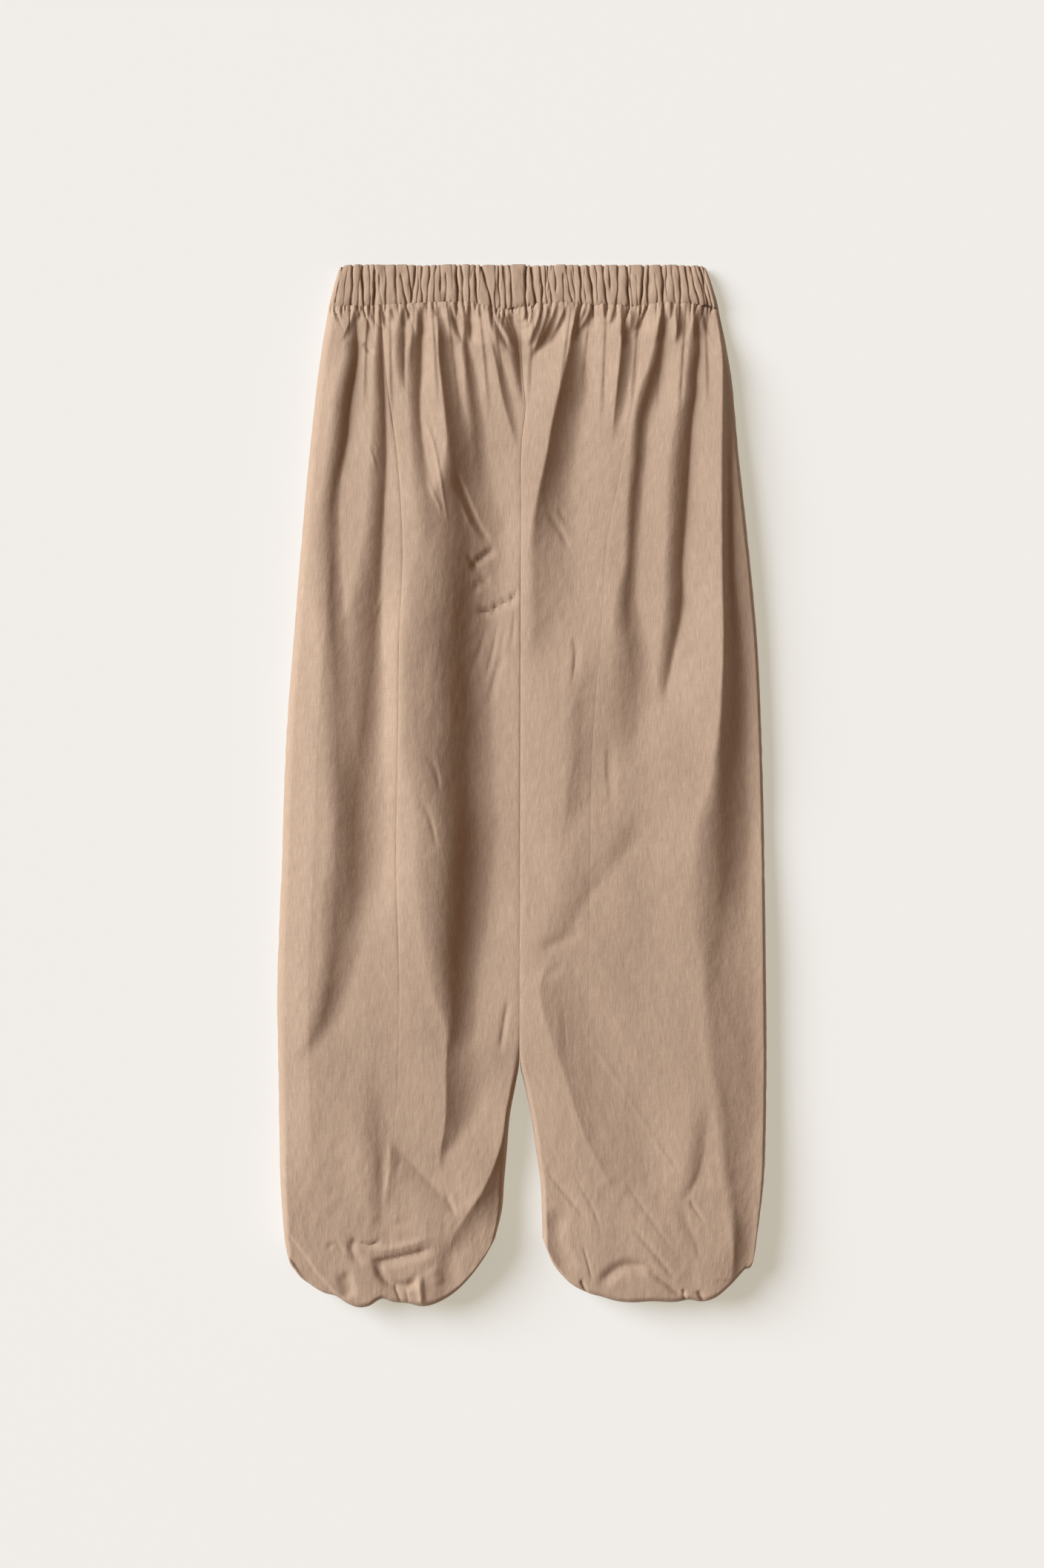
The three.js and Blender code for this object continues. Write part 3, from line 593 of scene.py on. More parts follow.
FALLS += RIGHT_MIDDLE_FALLS + RIGHT_HEM_FALLS

# Small gathers under the waistband: place at the seam and at the end, and length
GATHERS = [
    [-173, -169.5, 14], [-166, -163.5, 12], [-153, -166, 34], [-148.5, -154, 14], [-142, -132, 20],
    [-131, -124, 22], [-121, -117.5, 14], [-110.5, -108.5, 22], [-104.5, -106, 14], [-94, -92.5, 30],
    [-83, -78.5, 12], [-67.5, -54.5, 35], [-61.5, -56.5, 15], [-49.5, -47, 35], [-40, -38, 12],
    [-30.5, -11, 43], [-23.5, -6, 36], [-18, -3, 40], [-10, -4.5, 10], [5, 1, 14], [12, 5, 20],
    [19, 5, 38], [25.5, 8, 48], [32.5, 12, 42], [41.5, 23, 35], [51.5, 43.5, 35], [58.5, 53, 15],
    [65.5, 50.5, 25], [75.5, 77, 13], [84.5, 80.5, 17], [91.5, 91.5, 42], [101, 99.5, 24],
    [113.5, 101, 25], [129, 123.5, 35], [137.5, 136, 14], [145.5, 141, 35], [158, 158, 35],
    [165, 171.5, 27], [173.5, 173.5, 13],
]
for i, (start, end, length) in enumerate(GATHERS):
    wide = 2.6 + 0.05 * length + 0.8 * math.sin(i * 3.1)
    left, right = (wide, 1.0) if end > start else (1.0, wide)
    FALLS.append([
        [PANEL_TOP, start, 1.6, 1.6, 1.5],
        [PANEL_TOP - 0.35 * length, mix(start, end, 0.3), 1.4 * left, 1.4 * right, 1.4],
        [PANEL_TOP - 0.7 * length, mix(start, end, 0.65), 1.3 * left, 1.3 * right, 1.0],
        [PANEL_TOP - length, end, left, right, 0.0],
    ])

# Longer and fainter gathers between them: place at the seam and at the end, and length
LONG_GATHERS = [
    [-142, -145, 95], [-121.5, -119, 120], [-99, -101.5, 70], [-83, -78, 90], [-69, -56.5, 110],
    [-54, -48, 85], [-40, -30.5, 100], [-28.5, -15, 85], [12, 6, 90], [45, 32.5, 100],
    [63.5, 55, 80], [77.5, 73.5, 110], [108, 99.5, 95], [129, 123.5, 100], [151, 144, 110],
    [168, 170, 90],
]
for i, (start, end, length) in enumerate(LONG_GATHERS):
    left, right = (2.6, 1.0) if i % 3 else (1.2, 2.4)
    FALLS.append([
        [PANEL_TOP, start, left, right, 0.5],
        [PANEL_TOP - 0.3 * length, mix(start, end, 0.35), left, right, 0.42],
        [PANEL_TOP - 0.7 * length, mix(start, end, 0.75), 1.3 * left, 1.3 * right, 0.3],
        [PANEL_TOP - length, end, 1.6 * left, 1.6 * right, 0.0],
    ])

# The falls are summed over the front into slopes. What falls steeply is raised again over the
# bright cloth beside it, and the slopes summed along each row give the heights.
FIELD_STEP = 0.7
FIELD_ROW_STEP = 1.5
FIELD_LEFT = -234.0
FIELD_RIGHT = 234.5
FIELD_BOTTOM = -486.0
FIELD_TOP = 444.0
RISE_REACH = 42.0
BROAD_REACH = 12.0
STEEPNESS = 1.3
STEEPEST = 1.6
BRIGHT_FALL = 0.12
SOFT_SPREAD = 0.4
NARROW_TOP = 0.55
HIGHEST_CREST = 16.5
DEEPEST_TROUGH = 20.0


def large_folds():
    """Heights of the large folds on a grid over the whole front."""
    x = np.arange(FIELD_LEFT, FIELD_RIGHT, FIELD_STEP)[None, :]
    y = np.arange(FIELD_BOTTOM, FIELD_TOP, FIELD_ROW_STEP)[:, None]
    fall = np.zeros((y.size, x.size))
    for rows in FALLS:
        sections = named_rows(FALL_COLUMNS, rows)
        inside = ((y <= sections[0]["y"]) & (y >= sections[-1]["y"]))[:, 0]
        level = y[inside]
        place, left, right, steep = [
            read_table(sections, "y", column, level) for column in ["x", "left", "right", "steep"]
        ]
        offset = x - place
        reach = np.where(offset < 0.0, np.maximum(left, 1.0), np.maximum(right, 1.0))
        reach = reach + SOFT_SPREAD * np.maximum(reach - 4.0, 0.0)
        reach = 1.0 + (reach - 1.0) * mix(NARROW_TOP, 1.0, smooth((PANEL_TOP - level) / 50.0))
        steep = steep * (1.0 - 0.15 * smooth((level - 120.0) / 140.0))
        share = np.clip(np.abs(offset) / reach, 0.0, 1.0)
        fall[inside] += STEEPNESS * np.maximum(steep, 0.0) * (1.0 - share) ** 1.1
    fall = np.minimum(fall, STEEPEST)
    bright = np.exp(-fall / BRIGHT_FALL)
    near = np.exp(-0.5 * ((x - x.T) / RISE_REACH) ** 2)
    rise = (fall @ near) / (bright @ near + 2.0)
    slope = rise * bright - fall
    height = np.cumsum(slope, axis=1) * FIELD_STEP
    drift = (height[:, -1:] - height[:, :1]) * (x - x[0, 0]) / (x[0, -1] - x[0, 0])
    height -= drift
    height -= height.mean(axis=1, keepdims=True)
    # The broad form changes slowly down the leg, however quickly the small folds end.
    beside = np.exp(-0.5 * ((x - x.T) / BROAD_REACH) ** 2)
    broad = height @ (beside / beside.sum(axis=0, keepdims=True))
    along = np.exp(-0.5 * ((y - y.T) / BROAD_REACH) ** 2)
    height += (along / along.sum(axis=1, keepdims=True)) @ broad - broad
    over = np.tanh(height / HIGHEST_CREST) * HIGHEST_CREST
    under = np.tanh(height / DEEPEST_TROUGH) * DEEPEST_TROUGH
    return np.where(height > 0.0, over, under)


LARGE_FOLDS = large_folds()


def sample_field(field, x, y):
    column = np.clip((x - FIELD_LEFT) / FIELD_STEP, 0.0, field.shape[1] - 1.001)
    row = np.clip((y - FIELD_BOTTOM) / FIELD_ROW_STEP, 0.0, field.shape[0] - 1.001)
    i, j = row.astype(int), column.astype(int)
    v, u = row - i, column - j
    upper = field[i, j] * (1.0 - u) + field[i, j + 1] * u
    lower = field[i + 1, j] * (1.0 - u) + field[i + 1, j + 1] * u
    return upper * (1.0 - v) + lower * v


# Small folds and creases of the front: each runs along its path, with one width to the left
# of it and one to the right as it is seen, or below and above where it runs across to the
# right. A negative rise is a trough. The sides are s for soft, c for a sharp crest or bottom,
# e for a crisp outer edge and p for a level floor. start and end are the shares of its length
# in which it fades.
FOLD_COLUMNS = ["path", "left", "right", "rise", "sides", "start", "end"]
SMALL_FOLDS = named_rows(FOLD_COLUMNS, [
    [[(-147, 407), (-136, 395)], 4, 4, -2, "ss", 0.3, 0.4],
    [[(-62, 292), (-50, 262), (-38, 236), (-25, 220)], 9, 3, -2.8, "sc", 0.3, 0.2],
    [[(-60, 268), (-48, 240), (-36, 226), (-25, 220)], 3, 5, 1.2, "cs", 0.3, 0.2],
    [[(-25, 220), (-34, 214), (-44, 206), (-52, 196)], 3, 8, -2.8, "cs", 0.2, 0.4],
    [[(-52, 214), (-40, 198), (-29, 191)], 5, 3, -2.2, "sc"],
    [[(-29, 191), (-40, 186), (-50, 178)], 4, 6, -2.2, "cs", 0.2, 0.4],
    [[(-94, 345), (-82, 314), (-75, 280), (-67, 232)], 4, 3, 1.2, "cc", 0.25, 0.4],
    [[(-87, 280), (-72, 246)], 4, 3, 1, "cc", 0.3, 0.4],
    [[(-142, 314), (-133, 287)], 3, 3, 0.9, "cc", 0.3, 0.4],
    [[(-126, 181), (-139, 150)], 3, 3, 0.9, "cc", 0.3, 0.4],
    [[(-46, 162), (-34, 160), (-22, 166), (-10, 172), (-4, 180)], 6, 3, -3.6, "cc", 0.2, 0.2],
    [[(-31, 156), (-40, 126), (-52, 96)], 3, 5, -0.8, "cs", 0.5, 0.5],
    [[(-21, 158), (-29, 120), (-38, 84)], 3, 4, -0.9, "cs", 0.45, 0.5],
    [[(-14, 160), (-19, 132), (-30, 104)], 3, 4, -0.6, "cs", 0.5, 0.5],
    [[(-7, 166), (-10, 136), (-15, 112)], 3, 4, -0.7, "cs", 0.4, 0.6],
    [[(-17, 129), (-26, 100), (-34, 68)], 5, 7, -1.4, "cs", 0.3, 0.5],
    [[(-96, 30), (-82, 18), (-74, -12)], 4, 4, -1, "cs", 0.3, 0.4],
    [[(-98, -8), (-86, -28), (-78, -62)], 4, 4, -1, "cs", 0.3, 0.4],
    [[(-13, -192), (-22, -247)], 5, 5, -1.4, "cs"],
    [[(-124, -322), (-122, -345), (-128, -390)], 7, 9, 1.4, "cs", 0.2, 0.4],
    [[(-72, -371), (-61, -397)], 5, 5, -1, "cs", 0.25, 0.4],
    [[(-152, -410), (-157, -425), (-146, -441)], 8, 7, -2, "cs", 0.25, 0.3],
    [[(-158, -416), (-140, -420), (-128, -414)], 5, 3, -2, "sc"],
    [[(-140, -436), (-113, -431), (-80, -422)], 10, 4, -3.6, "sc", 0.2, 0.25],
    [[(-136, -427), (-113, -423), (-82, -414)], 5, 5, 1.6, "cs", 0.2, 0.3],
    [[(-137, -438), (-124, -455), (-106, -459), (-92, -450)], 6, 8, -3.4, "cs", 0.2, 0.2],
    [[(-118, -456), (-111, -474)], 3, 4, -1.5, "cc", 0.2, 0.2],
    [[(-107, -458), (-104, -474)], 4, 3, -0.9, "cc", 0.2, 0.2],
    [[(-96, -448), (-93, -476)], 5, 6, 2.2, "cs", 0.2, 0.2],
    [[(-84, -440), (-76, -458)], 9, 9, 1.2, "ss"],
    [[(-164, -444), (-156, -470)], 11, 8, -2.6, "ss"],
    [[(-181, -424), (-171, -420), (-162, -428)], 4, 4, -1.5, "cc"],
    [[(-219, -408), (-202, -429), (-188, -449), (-170, -468)], 14, 2.5, -2.6, "pe", 0.15, 0.15],
    [[(-60, -412), (-68, -440), (-62, -468)], 14, 14, -1.4, "ss"],
    [[(-140, -395), (-118, -402), (-96, -396)], 7, 6, -0.7, "ss"],
    [[(20, 252), (33, 236), (46, 212)], 5, 4, -1.4, "cs", 0.3, 0.4],
    [[(30, 258), (40, 244), (54, 236)], 4, 4, -1.2, "cs", 0.3, 0.4],
    [[(46, 140), (48, 118), (45, 88)], 4, 8, -1.2, "cs", 0.25, 0.4],
    [[(79, 46), (79, 10), (82, -26)], 4, 9, -0.9, "ss", 0.25, 0.4],
    [[(12, -150), (35, -142), (56, -133)], 8, 4, -1.2, "sc", 0.3, 0.2],
    [[(40, -162), (16, -178)], 4, 5, -1, "cs"],
    [[(50, -214), (93, -280), (120, -323), (152, -373)], 3, 3, 0.8, "cc", 0.2, 0.3],
    [[(19, -350), (40, -376), (60, -400)], 3, 5, -0.8, "cs"],
    [[(44, -352), (66, -392), (74, -420)], 3, 4, -0.5, "cs", 0.3, 0.4],
    [[(90, -358), (112, -390), (142, -432)], 3, 4, -0.6, "cs"],
    [[(98, -402), (120, -428), (142, -455)], 4, 5, -1.2, "cs"],
    [[(36, -384), (31, -412), (37, -432), (50, -452)], 14, 12, -2.4, "ss", 0.25, 0.3],
    [[(55, -420), (65, -456)], 3, 4, -0.9, "cc", 0.2, 0.3],
    [[(53, -452), (59, -466)], 3, 4, -2.2, "cc", 0.2, 0.2],
    [[(66, -458), (91, -439), (122, -441)], 11, 9, -3.2, "sc", 0.25, 0.25],
    [[(113, -438), (130, -452), (150, -468)], 7, 4, -2.8, "sc", 0.2, 0.2],
    [[(147, -460), (149, -473)], 4, 4, -2.8, "cc", 0.2, 0.2],
    [[(160, -462), (166, -473)], 4, 5, -2.8, "cc", 0.2, 0.2],
    [[(152, -379), (168, -402)], 3, 4, -1.3, "cc", 0.2, 0.4],
], start=0.3, end=0.3)


def smooth_path(path, steps=14):
    """Points on a smooth line through the path's own points."""
    points = np.array(path, dtype=float)
    if len(points) == 2:
        t = np.linspace(0.0, 1.0, steps)[:, None]
        return points[0] * (1.0 - t) + points[1] * t
    ends = np.concatenate([[2 * points[0] - points[1]], points, [2 * points[-1] - points[-2]]])
    parts = []
    for a, b, c, d in zip(ends[:-3], ends[1:-2], ends[2:-1], ends[3:]):
        t = np.linspace(0.0, 1.0, 8, endpoint=False)[:, None]
        parts.append(0.5 * (2 * b + (c - a) * t + (2 * a - 5 * b + 4 * c - d) * t**2
                            + (3 * b - a - 3 * c + d) * t**3))
    return np.concatenate(parts + [points[-1:]])


def side_profile(kind, t):
    """Height of a fold's side at the share t of its width, from the middle outwards."""
    if kind == "c":
        return (1.0 - t) ** 2
    if kind == "e":
        return 1.0 - t**2
    if kind == "p":
        return 1.0 - smooth((t - 0.75) / 0.25)
    return (1.0 - t**2) ** 2


def add_fold(height, x, y, fold):
    """Adds one fold to the heights at the points x, y."""
    line = smooth_path(fold["path"])
    reach = max(fold["left"], fold["right"])
    near = (x > line[:, 0].min() - reach) & (x < line[:, 0].max() + reach)
    near &= (y > line[:, 1].min() - reach) & (y < line[:, 1].max() + reach)
    if not near.any():
        return
    px = x[near][:, None]
    py = y[near][:, None]
    start = line[:-1]
    step = line[1:] - start
    length = np.hypot(step[:, 0], step[:, 1])
    gone = np.concatenate([[0.0], np.cumsum(length)])
    t = ((px - start[:, 0]) * step[:, 0] + (py - start[:, 1]) * step[:, 1]) / length**2
    t = np.clip(t, 0.0, 1.0)
    dx = px - start[:, 0] - t * step[:, 0]
    dy = py - start[:, 1] - t * step[:, 1]
    distance = np.hypot(dx, dy)
    best = np.argmin(distance, axis=1)
    pick = np.arange(len(best))
    side = step[best, 0] * dy[pick, best] - step[best, 1] * dx[pick, best]
    along = (gone[best] + t[pick, best] * length[best]) / gone[-1]
    width = np.where(side < 0, fold["left"], fold["right"])
    offset = np.clip(distance[pick, best] / width, 0.0, 1.0)
    left = side_profile(fold["sides"][0], offset)
    right = side_profile(fold["sides"][1], offset)
    taper = smooth(along / fold["start"]) * smooth((1.0 - along) / fold["end"])
    height[near] += fold["rise"] * taper * np.where(side < 0, left, right)


DEEPEST_GATHER = 7.0


def waist_gather(x, y):
    """Small folds below the waistband, which carry on from its creases."""
    below = np.maximum(band_seam(x) - y, 0.0)
    relief = np.zeros(x.shape)
    for i, crease in enumerate(BAND_CREASES):
        if crease["end"] < 0.95:
            continue
        reach = 3.0 + 2.0 * (1.0 + math.sin(i * 2.7)) + crease["depth"]
        lean = 0.2 * math.sin(i * 1.7) - 0.0012 * crease["bottom"]
        place = crease["bottom"] + lean * below
        width = 0.6 + 0.9 * np.exp(-below / 3.0) + 0.05 * below
        fade = np.exp(-below / reach) * smooth((below + 0.8) / 1.5)
        relief -= 2.2 * crease["depth"] * fade * np.exp(-np.abs(x - place) / width)
    relief = np.maximum(relief, -DEEPEST_GATHER)
    pucker = 1.4 + 1.6 * np.maximum(ripple(x, 0.0 * x, SEAM_PITCH, 41), 0.0)
    return 2.0 * np.exp(-below / 16.0) + relief - pucker * np.exp(-below / 1.3)


def leg_folds(x, y):
    height = np.zeros(x.shape)
    for fold in SMALL_FOLDS:
        add_fold(height, x, y, fold)
    return height


def crumple(x, y):
    """Soft creasing all over, larger near the hems and left of the crotch."""
    near_hems = smooth((-250.0 - y) / 120.0)
    by_crotch = np.exp(-((x + 55.0) / 34.0) ** 2 - ((y - 130.0) / 130.0) ** 2)
    amount = 1.0 + 0.5 * near_hems + 1.2 * by_crotch
    sharp = np.abs(ripple(x, y * 0.7, 34.0, 21)) + np.abs(ripple(x, y * 0.6, 22.0, 23))
    fine = ripple(x, y * 0.8, 13.0, 25)
    finer = ripple(x, y * 0.8, 7.0, 27)
    thin = np.abs(ripple(x, y * 0.3, 15.0, 31)) + np.abs(ripple(x, y * 0.4, 10.0, 33))
    soft = 0.35 * ripple(x, y * 0.35, 44.0, 29)
    return amount * (soft - 0.11 * sharp - 0.035 * thin + 0.035 * fine + 0.02 * finer)


def front_height(x, y, across):
    """Height of the front over the floor, which sinks towards the left edge."""
    crown = LOFT_CROWN * (1.0 - (2.0 * across - 1.0) ** 2)
    loft = read_table(LOFT, "y", "height", y) + crown
    sewn = 0.5 + 0.5 * smooth((band_seam(x) - y) / 34.0)
    height = loft + sample_field(LARGE_FOLDS, x, y) * sewn + leg_folds(x, y)
    height += waist_gather(x, y) + crumple(x, y)
    from_edge = (x - read_table(EDGES, "y", "outer_left", y)) / LEFT_EDGE_REACH
    sink = LEFT_EDGE_SINK * (1.0 - np.clip(from_edge, 0.0, 1.0)) ** 1.2
    height -= sink * smooth((425.0 - y) / 60.0) * smooth((y + 400.0) / 120.0)
    over = height - LOWEST_FRONT - 2.0
    return np.where(over > 0.0, height, LOWEST_FRONT + 2.0 * np.exp(np.minimum(over, 0.0) / 2.0))


LEGS = [
    {"name": "left", "side": -1.0, "outer": "outer_left", "seam": "seam_left"},
    {"name": "right", "side": 1.0, "outer": "outer_right", "seam": "seam_right"},
]


def leg_edges(leg, level):
    """Places of a leg's outer edge, front seam and inner edge at each level."""
    outer = read_table(EDGES, "y", leg["outer"], level)
    seam = read_table(EDGES, "y", leg["seam"], level)
    return outer, seam, read_table(CENTRE_LINE, "y", leg["name"], level)


def leg_section(leg, level, fan):
    """Edges and layer heights of the sections through a leg, one for each row of the mesh."""
    outer, seam, inner = leg_edges(leg, level)
    lip = smooth((fan - 0.35) / 0.65)
    roll_share = np.clip((fan - LIP_ROLL_START) / (1.0 - LIP_ROLL_START), 0.0, 1.0)
    roll = np.sqrt(1.0 - roll_share**2)
    parted = smooth((-232.0 - level) / 50.0)

    def across(x):
        return np.clip((x - outer) / (inner - outer), 0.0, 1.0)

    def plan_y(x):
        hem = HEM_CORNER - read_table(HEM_DROPS[leg["name"]], "across", "drop", across(x))
        return np.where(fan > 0.0, mix(FAN_TOP, hem, fan), level + 0.0 * x)

    def top_z(x):
        y = plan_y(x)
        return mix(LIP_TOP, front_height(x, y, across(x)), roll)

    return {
        "outer": outer,
        "seam": seam,
        "inner": inner,
        "plan_y": plan_y,
        "top_z": top_z,
        "under_y": lambda x: plan_y(x) + 5.0 * smooth((fan - 0.7) / 0.3),
        "under_z": LIP_BOTTOM * (1.0 - roll),
        "edge_z": mix(SIDE_EDGE_HEIGHT, HEM_EDGE_HEIGHT, lip),
        "meet_z": mix(top_z(inner) - CENTRE_VALLEY, HEM_EDGE_HEIGHT, np.maximum(lip, parted)),
        "outer_roll": OUTER_ROLL[leg["name"]],
        "inner_roll": INNER_ROLL,
        "under_roll": UNDER_ROLL,
        "split": smooth((CROTCH_Y + CROTCH_DIVE - level) / CROTCH_DIVE),
    }


def casing_section(leg):
    """The section where a leg is gathered into its hem casing."""
    outer, seam, inner = leg_edges(leg, np.array([[HEM_CORNER]]))
    middle = (outer + inner) / 2.0
    half = leg["side"] * CASING_WIDTH / 2.0
    middle_z = np.array([[CASING_MIDDLE]])
    top = CASING_MIDDLE + CASING_HALF_THICKNESS
    return {
        "outer": middle + half,
        "seam": seam,
        "inner": middle - half,
        "plan_y": lambda x: CASING_TOP + 0.0 * x,
        "top_z": lambda x: top + 0.0 * x,
        "under_y": lambda x: CASING_TOP + 0.0 * x,
        "under_z": middle_z - CASING_HALF_THICKNESS,
        "edge_z": middle_z,
        "meet_z": middle_z,
        "outer_roll": CASING_HALF_THICKNESS,
        "inner_roll": CASING_HALF_THICKNESS,
        "under_roll": CASING_HALF_THICKNESS,
        "split": np.array([[1.0]]),
    }


LEFT_SEAM_DEPTH = 0.8
RIGHT_SEAM_DEPTH = 0.2
# Where the stretches of a panel end, as shares of its columns. A front panel rolls down from
# FRONT_FLAT. A side and back panel rolls down from SIDE_FLAT, turns under at SIDE_EDGE, lies
# below from UNDER_START and rises to the inner seam from UNDER_END.
FRONT_FLAT = 0.85
SIDE_FLAT = 0.58
SIDE_EDGE = 0.70
UNDER_START = 0.76
UNDER_END = 0.94
SIDE_ENDS = [0.0, SIDE_FLAT, SIDE_EDGE, UNDER_START, UNDER_END, 1.0]


def quarter_turn(u, start, end):
    """An angle that grows from 0 to a right angle as u goes from start to end."""
    return np.clip((u - start) / (end - start), 0.0, 1.0) * math.pi / 2.0


def seam_relief(x, seam, level):
    """A stitched seam: a narrow groove, pressed flatter on the right leg and near the hems."""
    depth = np.where(seam < 0.0, LEFT_SEAM_DEPTH, RIGHT_SEAM_DEPTH)
    depth = depth * (0.2 + 0.8 * smooth((level + 230.0) / 120.0))
    return -depth * np.exp(-np.abs(x - seam) / 1.2)


def front_points(section, u):
    """A front panel: along the top from the leg seam, then down its inner edge."""
    seam, inner, roll = section["seam"], section["inner"], section["inner_roll"]
    inward = np.sign(inner - seam)
    turn = quarter_turn(u, FRONT_FLAT, 1.0)
    flat_x = mix(seam, inner - inward * roll, np.minimum(u / FRONT_FLAT, 1.0))
    roll_x = inner - inward * roll * (1.0 - np.sin(turn))
    x = np.where(u <= FRONT_FLAT, flat_x, roll_x)
    y = section["plan_y"](x)
    top = section["top_z"](x) + seam_relief(x, seam, y)
    rounded = mix(top - CENTRE_VALLEY, section["meet_z"], section["split"])
    return np.stack([x, y, rounded + (top - rounded) * np.cos(turn)], axis=-1)


def side_back_points(section, u):
    """A side and back panel: outwards from the leg seam, round the edge and back below."""
    outer, seam, inner = section["outer"], section["seam"], section["inner"]
    outward = np.sign(outer - seam)
    outer_roll = outward * section["outer_roll"]
    under_roll = outward * section["under_roll"]
    inner_roll = outward * section["inner_roll"]
    outer_turn = quarter_turn(u, SIDE_FLAT, SIDE_EDGE)
    under_turn = quarter_turn(u, UNDER_START, SIDE_EDGE)
    inner_turn = quarter_turn(u, UNDER_END, 1.0)
    flat = np.minimum(u / SIDE_FLAT, 1.0)
    back = np.clip((u - UNDER_START) / (UNDER_END - UNDER_START), 0.0, 1.0)
    shape = np.broadcast(u, outer).shape
    x = np.select(
        [np.broadcast_to(u <= end, shape) for end in SIDE_ENDS[1:-1]],
        [
            mix(seam, outer - outer_roll, flat),
            outer - outer_roll * (1.0 - np.sin(outer_turn)),
            outer - under_roll * (1.0 - np.sin(under_turn)),
            mix(outer - under_roll, inner + inner_roll, back),
        ],
        inner + inner_roll * (1.0 - np.sin(inner_turn)),
    )
    level = section["plan_y"](x)
    top = section["top_z"](x) + seam_relief(x, seam, level)
    edge, under = section["edge_z"], section["under_z"]
    inner_end = mix(under, section["meet_z"], section["split"])
    outer_z = edge + (top - edge) * np.cos(outer_turn)
    under_z = edge - (edge - under) * np.cos(under_turn)
    inner_z = under + (inner_end - under) * (1.0 - np.cos(inner_turn))
    below = np.broadcast_to(u > UNDER_START, shape)
    z = np.where(below, inner_z, np.where(u > SIDE_EDGE, under_z, outer_z))
    # Soft folds on the hidden underside, and a slight wave along the outer edge
    lifted = np.clip(ripple(x, level * 0.3, 70.0, 51) - 0.2, 0.0, 1.2)
    z += UNDER_LIFT * lifted * below * np.cos(inner_turn)
    rolled = np.sin(2.0 * quarter_turn(u, SIDE_FLAT, UNDER_START))
    wave = np.abs(ripple(level * 0.8, z * 3.0 + level * 0.3, 26.0, 53))
    x = x - outward * rolled * EDGE_WAVE * wave
    turned = np.where(below, 1.0, np.where(u > SIDE_EDGE, np.cos(under_turn), 0.0))
    y = mix(section["plan_y"](x), section["under_y"](x), turned * np.cos(inner_turn))
    return np.stack([x, y, z], axis=-1)


PANELS = [
    {"name": "front", "points": front_points, "ends": [0.0, FRONT_FLAT, 1.0]},
    {"name": "side_back", "points": side_back_points, "ends": SIDE_ENDS},
]
# Columns in each stretch of a panel, its flat cut and the area of that, in metres
PANEL_CUTS = {
    ("left", "front"): ([134, 10], (0.17, 0.95), 0.15),
    ("right", "front"): ([112, 10], (0.13, 0.95), 0.1),
    ("left", "side_back"): ([116, 12, 4, 12, 4], (0.42, 0.99), 0.38),
    ("right", "side_back"): ([124, 10, 4, 10, 3], (0.47, 0.99), 0.44),
}
GATHERED_END = 395.0
UPPER_END = 200.0
LIP_START = 0.9
PULL_BOTTOM = 400.0
TUCK_UP = 2.2
TUCK_DOWN = 1.6
TURN_ROWS = 12


def row_levels():
    """Levels and fan shares of the rows, closer together at the waist and at the hems."""
    upper = np.concatenate([
        np.arange(PANEL_TOP, GATHERED_END, -1.3),
        np.arange(GATHERED_END, UPPER_END, -3.0),
        np.arange(UPPER_END, FAN_TOP, -4.0),
    ])
    fan = np.concatenate([
        np.linspace(0.004, LIP_START, 64),
        mix(LIP_START, 1.0, np.sin(np.linspace(0.1, 1.0, 16) * math.pi / 2.0)),
    ])
    level = np.concatenate([upper, mix(FAN_TOP, HEM_CORNER, fan)])
    return level[:, None], np.concatenate([np.zeros(len(upper)), fan])[:, None]


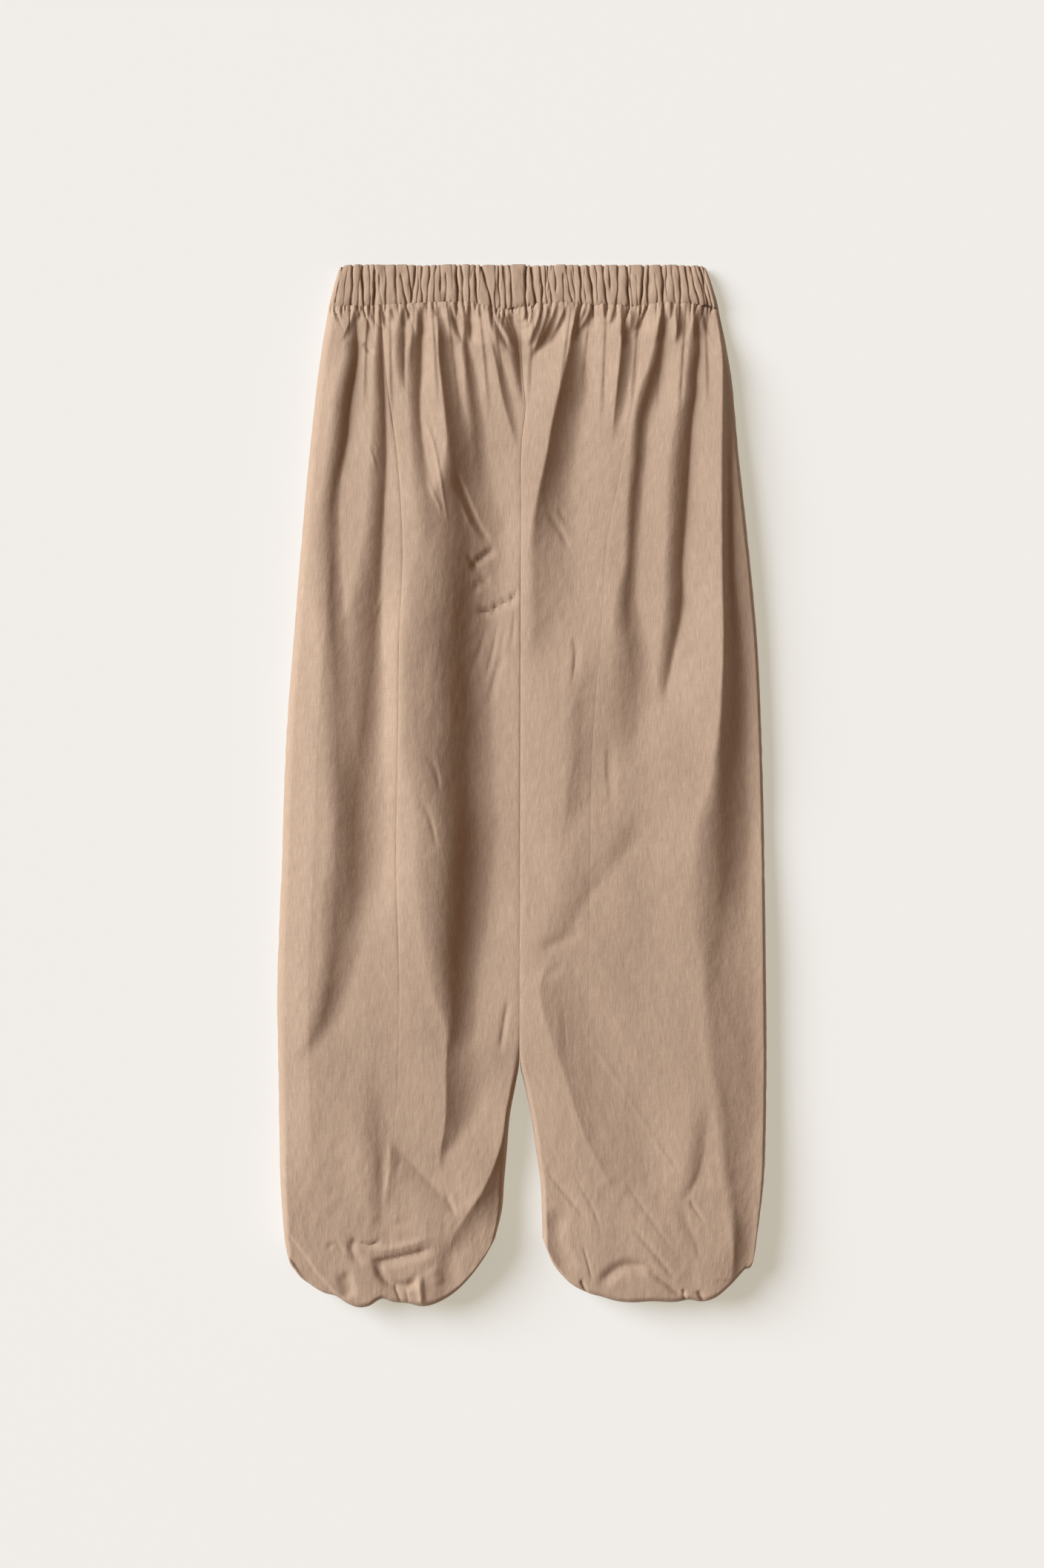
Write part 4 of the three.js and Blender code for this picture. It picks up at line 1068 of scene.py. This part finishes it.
def leg_panel(leg, panel):
    """One panel of a leg, with its top tucked under the band and its hem turned in."""
    columns, flat, area = PANEL_CUTS[leg["name"], panel["name"]]
    stretches = zip(panel["ends"][:-1], panel["ends"][1:], columns)
    u = np.concatenate([np.linspace(a, b, n, endpoint=False) for a, b, n in stretches] + [[1.0]])
    u = u[None, :]
    level, fan = row_levels()
    points = panel["points"](leg_section(leg, level, fan), u)
    seam_y = band_seam(points[0, :, 0])
    pull = smooth((points[:, :, 1] - PULL_BOTTOM) / (PANEL_TOP - PULL_BOTTOM))
    points[:, :, 1] += pull * (seam_y[None, :] - PANEL_TOP)
    tucked = smooth((points[0, :, 2] - 6.0) / 4.0)
    points[0, :, 1] += TUCK_UP * tucked
    points[0, :, 2] -= TUCK_DOWN * tucked
    lip = points[-1]
    casing = panel["points"](casing_section(leg), u)[0]
    turned = []
    for inward in np.linspace(0.0, 1.0, TURN_ROWS + 1)[1:]:
        row = mix(lip, casing, inward)
        row[:, 2] = casing[:, 2] + (lip[:, 2] - casing[:, 2]) * (1.0 - inward) ** 3
        turned.append(row)
    points = np.concatenate([points, np.array(turned)])
    points[:, :, 2] = np.maximum(points[:, :, 2], 0.0)
    name = f"{panel['name']}_{leg['name']}"
    facing = leg["side"] * (1.0 if panel["name"] == "side_back" else -1.0)
    piece = cloth_grid(f"{name}_cloth", points, add_lengths(points), flip=facing < 0)
    finish_cloth(piece, name)


for leg in LEGS:
    for panel in PANELS:
        leg_panel(leg, panel)

# The hem casings: a narrow gathered ring of the same cotton over elastic inside each leg end.
# The ballooned leg turns in and is sewn to it, so that little of it shows.
CASING_COLUMNS = 180
CASING_ROWS = 14
CASING_GATHERS = 34.0
CASING_GATHER_DEPTH = 1.1
CASING_SLACK = 0.3
half_thickness = CASING_HALF_THICKNESS - CASING_SLACK
bottom, top = CASING_MIDDLE - half_thickness, CASING_MIDDLE + half_thickness
share = np.arange(CASING_COLUMNS) / CASING_COLUMNS
wave = np.cos(share * 2.0 * math.pi * CASING_GATHERS + 0.6 * np.sin(share * 44.0))
level = CASING_TOP - CASING_DEPTH * np.linspace(0.0, 1.0, CASING_ROWS)[:, None]
for leg in LEGS:
    section = casing_section(leg)
    ends = [section["outer"].item(), section["inner"].item()]
    x, z = ring_outline(min(ends) + CASING_SLACK, max(ends) - CASING_SLACK, bottom, top, share)
    inward = (z - CASING_MIDDLE) / half_thickness
    z = z - CASING_GATHER_DEPTH * (0.5 + 0.5 * wave) * inward
    rows = np.stack(np.broadcast_arrays(x, level, z), axis=-1)
    piece = cloth_grid(f"hem_casing_{leg['name']}_cloth", rows, add_lengths(rows), closed=True)
    finish_cloth(piece, f"hem_casing_{leg['name']}")
